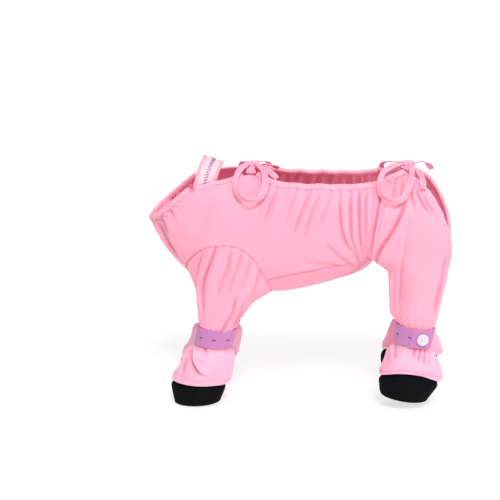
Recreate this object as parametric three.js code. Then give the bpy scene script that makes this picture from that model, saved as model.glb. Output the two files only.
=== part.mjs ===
// Dog leg cover in worn form: stretch jersey body cover, four sleeves with elastic cuffs and rubber boots,
// an elastic neck strap and two bow ties on the back. Millimetres, +Z up, +X toward the tail,
// -Y toward the wearer's left. The origin is on the symmetry plane, on the line of the wearer's back.
import * as THREE from "three";

// Driving sizes.
const SPAN = 100;            // distance between the left and right foot axes; tables below are shares of it
const FABRIC = 1.5;          // jersey wall
const GAP = 0.35;            // clearance between neighbouring pieces
const SEAM_GAP = 0.8;        // clearance where two cloth edges meet on a curved seam
const SQUARE = 2.3;          // roundness of a body section: 2 is an ellipse, larger is boxier
const SIDE_ANGLE = 2.39;     // usual angle from the belly line to the back edge, radians
const RUBBER = 2.2;          // boot wall
const ELASTIC = 1.6;         // cuff and neck strap thickness
const NECK_STRAP_WIDTH = 25;
const CUFF_OVERLAP = 0.75;   // how far the cuff end laps over its start, radians
const HEM_RADIUS = 2.9;      // gathered casing on the back and belly edges
const TIE_WIDTH = 7.5;       // flat jersey tie
const TIE_THICKNESS = 1.8;
const BUTTON_DIAMETER = 14;
const BUTTON_THICKNESS = 2.4;
const KNOT = { long: 7.2, wide: 5.6, high: 5.4 };

// Body stations from the neckline to the hind seam. belly* is the point on the belly line, edge* the point on
// the open back edge, wide the half width and open the half width of the back opening at that station.
const STATIONS = [
  { bellyX: -1.8, bellyZ: -0.58, edgeX: -1.28, edgeZ: -0.14, wide: 0.43, open: 0.4 },
  { bellyX: -1.68, bellyZ: -0.84, edgeX: -1.21, edgeZ: -0.135, wide: 0.47, open: 0.4 },
  { bellyX: -1.54, bellyZ: -1.04, edgeX: -1.13, edgeZ: -0.12, wide: 0.5, open: 0.395 },
  { bellyX: -1.37, bellyZ: -1.2, edgeX: -1.03, edgeZ: -0.09, wide: 0.53, open: 0.385 },
  { bellyX: -1.14, bellyZ: -1.34, edgeX: -0.86, edgeZ: -0.06, wide: 0.56, open: 0.35 },
  { bellyX: -0.8, bellyZ: -1.43, edgeX: -0.6, edgeZ: 0, wide: 0.58, open: 0.17 },
  { bellyX: -0.45, bellyZ: -1.45, edgeX: -0.38, edgeZ: -0.065, wide: 0.585, open: 0.34 },
  { bellyX: -0.12, bellyZ: -1.43, edgeX: -0.12, edgeZ: -0.115, wide: 0.58, open: 0.385 },
  { bellyX: 0.2, bellyZ: -1.35, edgeX: 0.22, edgeZ: -0.13, wide: 0.57, open: 0.39 },
  { bellyX: 0.5, bellyZ: -1.23, edgeX: 0.57, edgeZ: -0.125, wide: 0.555, open: 0.385 },
  { bellyX: 0.78, bellyZ: -1.13, edgeX: 0.9, edgeZ: -0.085, wide: 0.54, open: 0.375 },
];
const LAST = STATIONS.length - 1;
const BELLY_END = 8.95;      // station where the belly line stops at the cut-out
const CUTOUT_ROUND = 0.41;   // share of the way round where the belly cut-out meets the hind seam

// Armhole: an oval in station and share-round coordinates, taller above its middle line than below it.
const ARMHOLE = { station: 4.55, reach: 1.65, front: 0.25, rear: 0.2, above: 0.4, below: 0.13 };

// Sleeve rings. front* and rear* are the ends of a ring in side view, axisY its middle, outer and inner its bulges.
const FRONT_RINGS = [
  { frontX: -1.35, frontZ: -1.02, rearX: -0.39, rearZ: -1.26, axisY: -0.32, outer: 0.26, inner: 0.18 },
  { frontX: -1.3, frontZ: -1.13, rearX: -0.435, rearZ: -1.33, axisY: -0.37, outer: 0.25, inner: 0.2 },
  { frontX: -1.25, frontZ: -1.31, rearX: -0.54, rearZ: -1.45, axisY: -0.42, outer: 0.22, inner: 0.21 },
  { frontX: -1.236, frontZ: -1.5, rearX: -0.64, rearZ: -1.58, axisY: -0.46, outer: 0.2, inner: 0.2 },
  { frontX: -1.225, frontZ: -1.65, rearX: -0.727, rearZ: -1.69, axisY: -0.48, outer: 0.185, inner: 0.185 },
  { frontX: -1.2, frontZ: -1.77, rearX: -0.77, rearZ: -1.8, axisY: -0.5, outer: 0.17, inner: 0.17 },
  { frontX: -1.25, frontZ: -1.99, rearX: -0.83, rearZ: -2.02, axisY: -0.5, outer: 0.165, inner: 0.165 },
  { frontX: -1.38, frontZ: -2.08, rearX: -0.795, rearZ: -2.11, axisY: -0.5, outer: 0.21, inner: 0.21 },
  { frontX: -1.41, frontZ: -2.2, rearX: -0.8, rearZ: -2.24, axisY: -0.5, outer: 0.235, inner: 0.235 },
  { frontX: -1.475, frontZ: -2.32, rearX: -0.815, rearZ: -2.37, axisY: -0.5, outer: 0.25, inner: 0.25 },
  { frontX: -1.54, frontZ: -2.43, rearX: -0.87, rearZ: -2.465, axisY: -0.5, outer: 0.255, inner: 0.255 },
];
const HIND_RINGS = [
  { frontX: 0.9, frontZ: -0.085, rearX: 1.22, rearZ: 0.035, axisY: -0.16, outer: 0.1, inner: 0 },
  { frontX: 0.89, frontZ: -0.25, rearX: 1.44, rearZ: -0.11, axisY: -0.42, outer: 0.05, inner: 0 },
  { frontX: 0.88, frontZ: -0.42, rearX: 1.59, rearZ: -0.31, axisY: -0.5, outer: 0.08, inner: 0 },
  { frontX: 0.86, frontZ: -0.6, rearX: 1.69, rearZ: -0.54, axisY: -0.52, outer: 0.1, inner: 0 },
  { frontX: 0.83, frontZ: -0.76, rearX: 1.735, rearZ: -0.72, axisY: -0.5, outer: 0.13, inner: 0 },
  { frontX: 0.81, frontZ: -0.9, rearX: 1.745, rearZ: -0.87, axisY: -0.46, outer: 0.17, inner: 0.04 },
  { frontX: 0.92, frontZ: -0.99, rearX: 1.735, rearZ: -0.95, axisY: -0.43, outer: 0.2, inner: 0.1 },
  { frontX: 1.015, frontZ: -1.07, rearX: 1.72, rearZ: -1.05, axisY: -0.42, outer: 0.22, inner: 0.16 },
  { frontX: 1.045, frontZ: -1.2, rearX: 1.7, rearZ: -1.22, axisY: -0.44, outer: 0.215, inner: 0.19 },
  { frontX: 1.06, frontZ: -1.42, rearX: 1.655, rearZ: -1.45, axisY: -0.47, outer: 0.195, inner: 0.185 },
  { frontX: 1.08, frontZ: -1.58, rearX: 1.62, rearZ: -1.62, axisY: -0.49, outer: 0.18, inner: 0.175 },
  { frontX: 1.145, frontZ: -1.7, rearX: 1.575, rearZ: -1.75, axisY: -0.5, outer: 0.165, inner: 0.165 },
  { frontX: 1.13, frontZ: -1.92, rearX: 1.525, rearZ: -1.98, axisY: -0.5, outer: 0.16, inner: 0.16 },
  { frontX: 1.045, frontZ: -2.02, rearX: 1.58, rearZ: -2.08, axisY: -0.5, outer: 0.2, inner: 0.2 },
  { frontX: 0.995, frontZ: -2.15, rearX: 1.64, rearZ: -2.2, axisY: -0.5, outer: 0.23, inner: 0.23 },
  { frontX: 0.945, frontZ: -2.27, rearX: 1.675, rearZ: -2.33, axisY: -0.5, outer: 0.25, inner: 0.25 },
  { frontX: 0.94, frontZ: -2.33, rearX: 1.66, rearZ: -2.41, axisY: -0.5, outer: 0.25, inner: 0.25 },
];
const FRONT = { rings: FRONT_RINGS, cuff: 5, pleats: 5, fade: 3.2 };
const HIND = { rings: HIND_RINGS, cuff: 11, pleats: 5, crotch: 7, corner: 5 };
const PLEAT = 1.3;           // height of the lengthwise pleats

// Boot rings from the rim hidden under the sleeve hem down to the edge of the flat sole.
const FRONT_BOOT = [
  { frontX: -1.455, frontZ: -2.36, rearX: -0.865, rearZ: -2.39, axisY: -0.5, outer: 0.22, inner: 0.22 },
  { frontX: -1.5, frontZ: -2.445, rearX: -0.905, rearZ: -2.47, axisY: -0.5, outer: 0.228, inner: 0.228 },
  { frontX: -1.548, frontZ: -2.5, rearX: -0.895, rearZ: -2.52, axisY: -0.5, outer: 0.245, inner: 0.245 },
  { frontX: -1.553, frontZ: -2.58, rearX: -0.91, rearZ: -2.59, axisY: -0.5, outer: 0.245, inner: 0.245 },
  { frontX: -1.54, frontZ: -2.66, rearX: -0.94, rearZ: -2.66, axisY: -0.5, outer: 0.232, inner: 0.232 },
  { frontX: -1.515, frontZ: -2.705, rearX: -0.97, rearZ: -2.705, axisY: -0.5, outer: 0.21, inner: 0.21 },
  { frontX: -1.48, frontZ: -2.72, rearX: -1.005, rearZ: -2.72, axisY: -0.5, outer: 0.18, inner: 0.18 },
];
const HIND_BOOT = [
  { frontX: 0.995, frontZ: -2.26, rearX: 1.625, rearZ: -2.33, axisY: -0.5, outer: 0.215, inner: 0.215 },
  { frontX: 0.975, frontZ: -2.345, rearX: 1.625, rearZ: -2.425, axisY: -0.5, outer: 0.226, inner: 0.226 },
  { frontX: 0.935, frontZ: -2.4, rearX: 1.65, rearZ: -2.475, axisY: -0.5, outer: 0.245, inner: 0.245 },
  { frontX: 0.935, frontZ: -2.475, rearX: 1.61, rearZ: -2.54, axisY: -0.5, outer: 0.24, inner: 0.24 },
  { frontX: 0.945, frontZ: -2.54, rearX: 1.565, rearZ: -2.605, axisY: -0.5, outer: 0.225, inner: 0.225 },
  { frontX: 0.968, frontZ: -2.59, rearX: 1.53, rearZ: -2.65, axisY: -0.5, outer: 0.2, inner: 0.2 },
  { frontX: 1.0, frontZ: -2.605, rearX: 1.49, rearZ: -2.66, axisY: -0.5, outer: 0.175, inner: 0.175 },
];

// Broad folds of the body: ridges between two places given by station and share round.
const FOLDS = [
  { station: 7.2, round: 0.97, toStation: 6.1, toRound: 0.72, width: 0.09, height: 0.022 },
  { station: 8.0, round: 0.97, toStation: 6.9, toRound: 0.64, width: 0.1, height: 0.024 },
  { station: 8.7, round: 0.96, toStation: 7.7, toRound: 0.62, width: 0.1, height: 0.02 },
  { station: 9.2, round: 0.3, toStation: 9.3, toRound: 0.66, width: 0.08, height: 0.022 },
  { station: 9.7, round: 0.42, toStation: 9.8, toRound: 0.74, width: 0.07, height: 0.02 },
  { station: 0.2, round: 0.35, toStation: 2.2, toRound: 0.22, width: 0.09, height: -0.024 },
];

// Ties: paths in shares of SPAN; the right strap and loop mirror the left ones.
const FRONT_KNOT = { x: -0.59, y: 0, z: 0.075 };
const REAR_KNOT = { x: 1.24, y: 0, z: 0.095 };
const FRONT_STRAP = [
  { x: -0.6, y: -0.168, z: 0.008 },
  { x: -0.596, y: -0.11, z: 0.044 },
  { x: -0.59, y: -0.06, z: 0.072 },
];
const FRONT_LOOP = [
  { x: -0.645, y: -0.042, z: 0.1 },
  { x: -0.72, y: -0.2, z: 0.07 },
  { x: -0.765, y: -0.38, z: -0.03 },
  { x: -0.72, y: -0.52, z: -0.15 },
  { x: -0.61, y: -0.59, z: -0.215 },
  { x: -0.49, y: -0.585, z: -0.2 },
  { x: -0.42, y: -0.5, z: -0.115 },
  { x: -0.43, y: -0.28, z: 0.05 },
  { x: -0.545, y: -0.052, z: 0.105 },
];
const FRONT_TAIL_LEFT = [
  { x: -0.537, y: -0.043, z: 0.062 },
  { x: -0.42, y: -0.12, z: 0.045 },
  { x: -0.35, y: -0.2, z: 0.02 },
  { x: -0.28, y: -0.24, z: -0.03 },
];
const FRONT_TAIL_RIGHT = [
  { x: -0.524, y: 0.043, z: 0.068 },
  { x: -0.43, y: 0.07, z: 0.07 },
  { x: -0.36, y: 0.1, z: 0.05 },
  { x: -0.29, y: 0.13, z: 0.01 },
];
const REAR_STRAP = [
  { x: 1.197, y: -0.148, z: 0.077 },
  { x: 1.222, y: -0.1, z: 0.079 },
  { x: 1.239, y: -0.068, z: 0.088 },
];
const REAR_LOOP = [
  { x: 1.185, y: -0.04, z: 0.12 },
  { x: 1.05, y: -0.14, z: 0.1 },
  { x: 0.945, y: -0.33, z: 0.04 },
  { x: 0.93, y: -0.5, z: -0.1 },
  { x: 1.0, y: -0.57, z: -0.18 },
  { x: 1.11, y: -0.6, z: -0.205 },
  { x: 1.21, y: -0.56, z: -0.165 },
  { x: 1.29, y: -0.38, z: 0.01 },
  { x: 1.287, y: -0.052, z: 0.128 },
];
const REAR_TAIL_LEFT = [
  { x: 1.298, y: -0.033, z: 0.066 },
  { x: 1.38, y: -0.16, z: 0.055 },
  { x: 1.42, y: -0.32, z: -0.01 },
  { x: 1.43, y: -0.46, z: -0.09 },
];
const REAR_TAIL_RIGHT = [
  { x: 1.316, y: 0.02, z: 0.1 },
  { x: 1.4, y: 0.03, z: 0.13 },
  { x: 1.48, y: 0.09, z: 0.09 },
  { x: 1.53, y: 0.17, z: 0.01 },
];
const NECK_ARCH = [
  { x: -1.155, y: -0.33, z: -0.2 },
  { x: -1.145, y: -0.329, z: -0.13 },
  { x: -1.12, y: -0.3, z: -0.03 },
  { x: -1.085, y: -0.22, z: 0.08 },
  { x: -1.065, y: -0.11, z: 0.115 },
  { x: -1.056, y: 0, z: 0.125 },
];

const JERSEY = new THREE.MeshStandardMaterial({ name: "pink jersey", color: 0xffb8d4, roughness: 0.85 });
const CASING = new THREE.MeshStandardMaterial({ name: "pink casing", color: 0xf7a6c6, roughness: 0.85 });
const ELASTIC_PINK = new THREE.MeshStandardMaterial({ name: "pale pink elastic", color: 0xffc8dc, roughness: 0.8 });
const ELASTIC_PURPLE = new THREE.MeshStandardMaterial({ name: "orchid elastic", color: 0xd78ccd, roughness: 0.8 });
const RUBBER_BLACK = new THREE.MeshStandardMaterial({ name: "black rubber", color: 0x121214, roughness: 0.55 });
const BUTTON_WHITE = new THREE.MeshStandardMaterial({ name: "pearl button", color: 0xf5e8f0, roughness: 0.3 });

const point = (x, y, z) => new THREE.Vector3(x, y, z);
const clamp01 = (value) => Math.min(Math.max(value, 0), 1);
const ease = (value) => clamp01(value) ** 2 * (3 - 2 * clamp01(value));
const signedPower = (value, power) => Math.sign(value) * Math.abs(value) ** power;

/** Smooth value of every column of a table at a fractional row. */
function blend(table, at) {
  const last = table.length - 1;
  const row = Math.min(Math.max(Math.floor(at), 0), last - 1);
  const f = at - row;
  const out = {};
  for (const key of Object.keys(table[0])) {
    const a = table[Math.max(row - 1, 0)][key];
    const b = table[row][key];
    const c = table[row + 1][key];
    const d = table[Math.min(row + 2, last)][key];
    out[key] = b + 0.5 * f * (c - a + f * (2 * a - 5 * b + 4 * c - d + f * (3 * (b - c) + d - a)));
  }
  return out;
}

/** Height of the broad folds at a station and share round, in millimetres. */
function foldHeight(station, round) {
  let height = 0;
  for (const fold of FOLDS) {
    const alongX = (fold.toStation - fold.station) * 0.33;
    const alongR = (fold.toRound - fold.round) * 1.3;
    const offX = (station - fold.station) * 0.33;
    const offR = (round - fold.round) * 1.3;
    const share = (offX * alongX + offR * alongR) / (alongX ** 2 + alongR ** 2);
    const away = Math.hypot(offX - alongX * clamp01(share), offR - alongR * clamp01(share));
    height += fold.height * Math.exp(-((away / fold.width) ** 2)) * (1 - 0.6 * clamp01(share));
  }
  return height * SPAN;
}

/** Point of the left half of the body; round runs from 0 on the belly line to 1 on the back edge. */
function bodyPoint(station, round) {
  const s = blend(STATIONS, station);
  const end = Math.PI - Math.asin((s.open / s.wide) ** (SQUARE / 2));
  const angle = round * SIDE_ANGLE + (end - SIDE_ANGLE) * round ** 4;
  const level = 1 - signedPower(Math.cos(angle), 2 / SQUARE);
  const rise = level / (1 - signedPower(Math.cos(end), 2 / SQUARE));
  const x = s.bellyX + (s.edgeX - s.bellyX) * rise;
  const y = -s.wide * Math.sin(angle) ** (2 / SQUARE);
  const z = s.bellyZ + (s.edgeZ - s.bellyZ) * rise;
  const middle = (s.bellyZ + s.edgeZ) / 2;
  const lift = foldHeight(station, round) / SPAN / Math.hypot(y, z - middle);
  return point(x, y * (1 + lift), z + (z - middle) * lift).multiplyScalar(SPAN);
}

/** Station where the body ends, by share round: the belly cut-out below, the hind seam above. */
const rearStation = (round) => BELLY_END + (LAST - BELLY_END) * ease(round / CUTOUT_ROUND);

/** Place on the armhole oval; turn runs 0 at the front, a quarter turn at the top, half at the rear. */
function armhole(turn, shrink = 0) {
  const side = Math.sin(turn) >= 0 ? ARMHOLE.above - shrink * 0.7 : ARMHOLE.below - shrink * 0.7;
  const share = (1 - Math.cos(turn)) / 2;
  const middle = ARMHOLE.front + (ARMHOLE.rear - ARMHOLE.front) * share;
  return bodyPoint(ARMHOLE.station - (ARMHOLE.reach - shrink) * Math.cos(turn), middle + side * Math.sin(turn));
}

/** Point of a plain sleeve or boot ring; turn runs like the armhole, outer side first. */
function ringPoint(rings, at, turn, outset = 0) {
  const r = blend(rings, at);
  const halfX = (r.rearX - r.frontX) / 2;
  const halfZ = (r.rearZ - r.frontZ) / 2;
  const reach = 1 + outset / (SPAN * halfX);
  const bulge = (Math.sin(turn) > 0 ? r.outer : r.inner) + outset / SPAN;
  const x = r.frontX + halfX - halfX * reach * Math.cos(turn);
  const z = r.frontZ + halfZ - halfZ * reach * Math.cos(turn);
  return point(x, r.axisY - bulge * Math.sin(turn), z).multiplyScalar(SPAN);
}

/** Pleat height on a sleeve: none at the seam and under the cuff, full in between and on the flare. */
function pleat(leg, at, turn) {
  const above = Math.sin(Math.PI * clamp01((at - leg.cuff + 4.5) / 4.5));
  const below = ease((at - leg.cuff - 1.2) / 1.5) * ease((leg.rings.length - 1 - at) / 0.8);
  const amount = at < leg.cuff ? above : below;
  return PLEAT * amount * Math.cos(leg.pleats * turn + 0.6 * at);
}

/** Point of a front sleeve: armhole oval at the top, easing into the plain rings. */
function frontSleevePoint(at, turn) {
  const seam = armhole(turn, 0.012).sub(ringPoint(FRONT.rings, 0, turn));
  const share = 1 - ease(at / FRONT.fade);
  return ringPoint(FRONT.rings, at, turn, pleat(FRONT, at, turn)).addScaledVector(seam, share);
}

/** Point of a hind sleeve: its front column follows the hind seam of the body down to the cut-out corner. */
function hindSleevePoint(at, turn) {
  const down = Math.min(at, HIND.corner);
  const seam = bodyPoint(LAST, 1 - (1 - CUTOUT_ROUND) * (down / HIND.corner));
  seam.x += SEAM_GAP;
  seam.sub(ringPoint(HIND.rings, down, 0));
  const share = (1 - ease(Math.min(turn, 2 * Math.PI - turn) / 1.3)) * (1 - ease((at - HIND.corner) / 1.5));
  return ringPoint(HIND.rings, at, turn, pleat(HIND, at, turn)).addScaledVector(seam, share);
}

/** Grid of points: rows by columns from a function of two shares between 0 and 1. */
function grid(rows, columns, place) {
  return Array.from({ length: rows + 1 }, (_, i) =>
    Array.from({ length: columns + 1 }, (_, j) => place(i / rows, j / columns)));
}

/** Welded points and triangles of some grids. */
function weld(grids) {
  const points = [];
  const known = new Map();
  const faces = [];
  const index = (p) => {
    const key = [p.x, p.y, p.z].map((v) => Math.round(v * 2000)).join();
    if (!known.has(key)) {
      known.set(key, points.length);
      points.push(p);
    }
    return known.get(key);
  };
  for (const rows of grids) {
    for (let i = 0; i + 1 < rows.length; i += 1) {
      for (let j = 0; j + 1 < rows[i].length; j += 1) {
        const [a, b] = [index(rows[i][j]), index(rows[i][j + 1])];
        const [c, d] = [index(rows[i + 1][j + 1]), index(rows[i + 1][j])];
        const shorter = points[a].distanceTo(points[c]) <= points[b].distanceTo(points[d]);
        faces.push(...(shorter ? [[a, b, c], [a, c, d]] : [[a, b, d], [b, c, d]]));
      }
    }
  }
  return { points, faces: faces.filter(([a, b, c]) => a !== b && b !== c && c !== a) };
}

/** Geometry of points and triangles, turned so that it faces outward. */
function solid(points, faces) {
  let volume = 0;
  for (const [a, b, c] of faces) volume += points[a].dot(points[b].clone().cross(points[c]));
  const turned = volume < 0 ? faces.map(([a, b, c]) => [a, c, b]) : faces;
  const geometry = new THREE.BufferGeometry();
  const flat = turned.flatMap((face) => face.flatMap((i) => points[i].toArray()));
  geometry.setAttribute("position", new THREE.Float32BufferAttribute(flat, 3));
  geometry.computeVertexNormals();
  return geometry;
}

/** Closed wall on the inner side of some grids that face outward. */
function wall(grids, thickness) {
  const { points, faces } = weld(grids);
  const normals = points.map(() => point(0, 0, 0));
  for (const [a, b, c] of faces) {
    const n = points[b].clone().sub(points[a]).cross(points[c].clone().sub(points[a]));
    for (const i of [a, b, c]) normals[i].add(n);
  }
  const count = points.length;
  const inner = points.map((p, i) => p.clone().addScaledVector(normals[i].normalize(), -thickness));
  const used = new Set(faces.flatMap(([a, b, c]) => [`${a},${b}`, `${b},${c}`, `${c},${a}`]));
  const all = faces.flatMap(([a, b, c]) => [[a, b, c], [c + count, b + count, a + count]]);
  for (const edge of used) {
    const [a, b] = edge.split(",").map(Number);
    if (!used.has(`${b},${a}`)) all.push([b, a, a + count], [b, a + count, b + count]);
  }
  return solid([...points, ...inner], all);
}

/** Closed sweep: stations carry a centre, a side and an up direction; outline gives a loop of pairs per station. */
function sweep(stations, outline) {
  const rings = stations.map(({ centre, side, up }, i) =>
    outline(i / (stations.length - 1)).map(([a, b]) =>
      centre.clone().addScaledVector(side, a).addScaledVector(up, b)));
  const round = rings[0].length;
  const points = rings.flat();
  const faces = [];
  for (let i = 0; i + 1 < rings.length; i += 1) {
    for (let j = 0; j < round; j += 1) {
      const [a, b] = [i * round + j, i * round + ((j + 1) % round)];
      faces.push([a, b, b + round], [a, b + round, a + round]);
    }
  }
  for (let j = 1; j + 1 < round; j += 1) {
    const top = points.length - round;
    faces.push([0, j + 1, j], [top, top + j, top + j + 1]);
  }
  return solid(points, faces);
}

/** Sweep stations along a path; face gives the up direction at a share of the way along. */
function stationsAlong(path, face) {
  return path.map((centre, i) => {
    const ahead = path[Math.min(i + 1, path.length - 1)];
    const along = ahead.clone().sub(path[Math.max(i - 1, 0)]).normalize();
    const side = along.clone().cross(face(i / (path.length - 1), centre)).normalize();
    return { centre, side, up: side.clone().cross(along) };
  });
}

/** Evenly spaced places on the smooth curve through a table of x, y, z shares. */
function curve(table, steps) {
  return Array.from({ length: steps + 1 }, (_, i) => {
    const p = blend(table, (i / steps) * (table.length - 1));
    return point(p.x, p.y, p.z).multiplyScalar(SPAN);
  });
}

const oval = (width, height, count) => Array.from({ length: count }, (_, i) => {
  const turn = (2 * Math.PI * i) / count;
  return [(width / 2) * signedPower(Math.cos(turn), 0.6), (height / 2) * signedPower(Math.sin(turn), 0.8)];
});

/** Gathered casing along an edge; edge gives a place on the cloth, inward a place a little further inside. */
function casing(steps, edge, inward, radius, gathers, clearance) {
  const hem = Array.from({ length: steps + 1 }, (_, i) => edge(i / steps));
  const outs = hem.map((here, i) => {
    const along = hem[Math.min(i + 1, steps)].clone().sub(hem[Math.max(i - 1, 0)]).normalize();
    const out = here.clone().sub(inward(i / steps));
    return out.addScaledVector(along, -out.dot(along)).normalize();
  });
  const path = hem.map((here, i) => here.clone().addScaledVector(outs[i], radius * 1.1 + clearance));
  const stations = stationsAlong(path, (share) => outs[Math.round(share * steps)]);
  return sweep(stations, (share) => {
    const ripple = 1 + 0.1 * Math.cos(2 * Math.PI * gathers * share);
    return oval(2 * radius * ripple, 2 * radius * ripple, 6);
  });
}

/** Copy of a geometry on the other side of the symmetry plane. */
function mirrored(geometry) {
  const copy = geometry.clone();
  const p = copy.getAttribute("position");
  for (let i = 0; i < p.count; i += 3) {
    const corner = [0, 1, 2].map((k) => [p.getX(i + k), -p.getY(i + k), p.getZ(i + k)]);
    [corner[0], corner[2], corner[1]].forEach((c, k) => p.setXYZ(i + k, ...c));
  }
  copy.computeVertexNormals();
  return copy;
}

const group = new THREE.Group();
group.name = "dog_leg_cover";

function add(name, geometry, material) {
  const mesh = new THREE.Mesh(geometry, material.clone());
  mesh.name = name;
  group.add(mesh);
}

function addPair(name, geometry, material) {
  add(`${name}_left`, geometry, material);
  add(`${name}_right`, mirrored(geometry), material);
}

// Body cover: one cloth wall with two armholes, open along the back.
const BODY_BANDS = [
  { from: () => 0, to: () => ARMHOLE.station - ARMHOLE.reach, columns: 5, hole: false },
  { from: null, to: null, columns: 12, hole: true },
  { from: () => ARMHOLE.station + ARMHOLE.reach, to: rearStation, columns: 8, hole: false },
];
function bodyGrids() {
  const frontMiddle = ARMHOLE.front;
  const rearMiddle = ARMHOLE.rear;
  const grids = [];
  for (const band of BODY_BANDS) {
    for (const upper of [false, true]) {
      grids.push(grid(upper ? 6 : 3, band.columns, (down, along) => {
        const turn = Math.PI * along;
        const middle = band.hole
          ? frontMiddle + (rearMiddle - frontMiddle) * ((1 - Math.cos(turn)) / 2)
          : (band.columns === 5 ? frontMiddle : rearMiddle);
        const above = band.hole ? middle + ARMHOLE.above * Math.sin(turn) : middle;
        const below = band.hole ? middle - ARMHOLE.below * Math.sin(turn) : middle;
        const round = upper ? above + (1 - above) * down : below * down;
        const station = band.hole
          ? ARMHOLE.station - ARMHOLE.reach * Math.cos(turn)
          : band.from(round) + (band.to(round) - band.from(round)) * along;
        return bodyPoint(station, round);
      }));
    }
  }
  return grids;
}
const leftBody = bodyGrids();
const rightBody = leftBody.map((rows) => rows.map((row) => row.map((p) => point(p.x, -p.y, p.z)).reverse()));
add("body_cover", wall([...leftBody, ...rightBody], FABRIC), JERSEY);

// Sleeves.
const FRONT_ROWS = [0, 0.6, 1.3, 2.1, 3, 4, 5, 6, 6.5, 7, 8, 9, 10];
addPair("front_sleeve", wall([FRONT_ROWS.map((at) =>
  Array.from({ length: 19 }, (_, i) => frontSleevePoint(at, 2 * Math.PI * (1 - i / 18))))], FABRIC), JERSEY);
const hindRows = HIND.rings.length - 1;
addPair("hind_sleeve", wall([
  grid(hindRows, 9, (down, along) => hindSleevePoint(down * hindRows, Math.PI * (1 - along))),
  grid(hindRows - HIND.crotch, 7, (down, along) =>
    hindSleevePoint(HIND.crotch + down * (hindRows - HIND.crotch), Math.PI * (2 - along))),
], FABRIC), JERSEY);

// Gathered casings: neckline, back edge from the front tie to the rear tie, belly cut-out, hind edges.
const mirror = (p) => point(p.x, -p.y, p.z);
const acrossBelly = (place) => (share) =>
  share < 0.5 ? place(1 - 2 * share) : mirror(place(2 * share - 1));
add("neckline_casing", casing(28,
  acrossBelly((round) => bodyPoint(0, round * 0.97)),
  acrossBelly((round) => bodyPoint(0.08, round * 0.97)), HEM_RADIUS * 0.9, 14, 0.2), CASING);
add("belly_casing", casing(24,
  acrossBelly((share) => bodyPoint(rearStation(share * CUTOUT_ROUND * 0.9), share * CUTOUT_ROUND * 0.9)),
  acrossBelly((share) => bodyPoint(rearStation(share * CUTOUT_ROUND * 0.9) - 0.1, share * CUTOUT_ROUND * 0.9)),
  HEM_RADIUS * 0.9, 12, 0.35), CASING);
const TIE_STATION = 5.25;    // station of the front tie, where the back casing begins
const backEdge = (depth) => (share) => {
  const place = share * 1.5;
  return place < 1
    ? bodyPoint(TIE_STATION + (LAST - TIE_STATION) * place, 1 - depth)
    : hindSleevePoint(depth * 2, Math.PI * (place - 1) * 2);
};
addPair("back_casing", casing(28, backEdge(0), backEdge(0.06), HEM_RADIUS, 14, 0.5), CASING);
const hindEdge = (depth) => (share) => {
  const place = share * 3;
  if (place < 1) return hindSleevePoint(0.12 + place * (HIND.crotch - 0.12), Math.PI * (1 - depth));
  if (place < 2) return hindSleevePoint(HIND.crotch + depth * 3, Math.PI * place);
  return hindSleevePoint(HIND.crotch - (place - 2) * (HIND.crotch - HIND.corner - 0.7), Math.PI * depth);
};
addPair("hind_edge_casing", casing(28, hindEdge(0), hindEdge(0.05), HEM_RADIUS * 0.85, 14, 1.0), CASING);

// Shoulder bands: folded strips on the shoulder edge that carry the neck strap.
const shoulderPath = grid(1, 8, (side, along) => bodyPoint(0.25 + along * (TIE_STATION - 0.85), 1 - side * 0.04));
const shoulderStations = stationsAlong(
  shoulderPath[0].map((p, i) => p.clone().addScaledVector(p.clone().sub(shoulderPath[1][i]).normalize(), 3)),
  (share) => shoulderPath[0][Math.round(share * 8)].clone().sub(shoulderPath[1][Math.round(share * 8)]));
addPair("shoulder_band", sweep(shoulderStations, () => oval(2.6, 4, 6)), CASING);

// Neck strap: one elastic band from shoulder to shoulder over the back of the neck.
const neckHalf = curve(NECK_ARCH, 10);
const neckPath = [...neckHalf, ...neckHalf.slice(0, -1).reverse().map(mirror)];
const band = (width, thickness) =>
  [[-width / 2, 0], [width / 2, 0], [width / 2, thickness], [-width / 2, thickness]];
add("neck_strap", sweep(
  stationsAlong(neckPath, (share, centre) => point(0.3, centre.y / 33, (centre.z + 25) / 40)),
  () => band(NECK_STRAP_WIDTH, ELASTIC)), ELASTIC_PINK);

// Cuffs: an elastic band round the ankle whose end laps over its start, with a button on the lap.
function cuffPlace(leg, turn, outset) {
  const top = ringPoint(leg.rings, leg.cuff, turn, outset);
  const bottom = ringPoint(leg.rings, leg.cuff + 1, turn, outset);
  return { centre: top.clone().add(bottom).multiplyScalar(0.5), drop: top.sub(bottom) };
}
function cuff(leg, start) {
  const whole = 2 * Math.PI + CUFF_OVERLAP;
  const turnAt = (share) => start + whole * share;
  const outset = (share) => GAP + 0.15 + (ELASTIC + GAP) * ease((whole * share - 2 * Math.PI + 0.35) / 0.35);
  const steps = 20;
  const stations = Array.from({ length: steps + 1 }, (_, i) => {
    const place = (shift) => cuffPlace(leg, turnAt(i / steps) % (2 * Math.PI) + shift, outset(i / steps));
    const along = place(0.02).centre.sub(place(-0.02).centre).normalize();
    const side = place(0).drop.normalize();
    return { centre: place(0).centre, side, up: along.clone().cross(side).normalize(), half: place(0).drop };
  });
  const outward = stations[0].centre.clone().sub(cuffPlace(leg, start + Math.PI, 0).centre);
  const flip = Math.sign(outward.dot(stations[0].up));
  stations.forEach((s) => s.up.multiplyScalar(flip));
  const height = cuffPlace(leg, Math.PI / 2, 0).drop.length();
  return sweep(stations, () => band(height, ELASTIC));
}
const BUTTONS = { front: 4.1, hind: 1.98 };
const FRONT_CUFF_START = BUTTONS.front - CUFF_OVERLAP * 0.55;
const HIND_CUFF_START = BUTTONS.hind - CUFF_OVERLAP * 0.55;
addPair("front_cuff", cuff(FRONT, FRONT_CUFF_START), ELASTIC_PURPLE);
addPair("hind_cuff", cuff(HIND, HIND_CUFF_START), ELASTIC_PURPLE);

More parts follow.
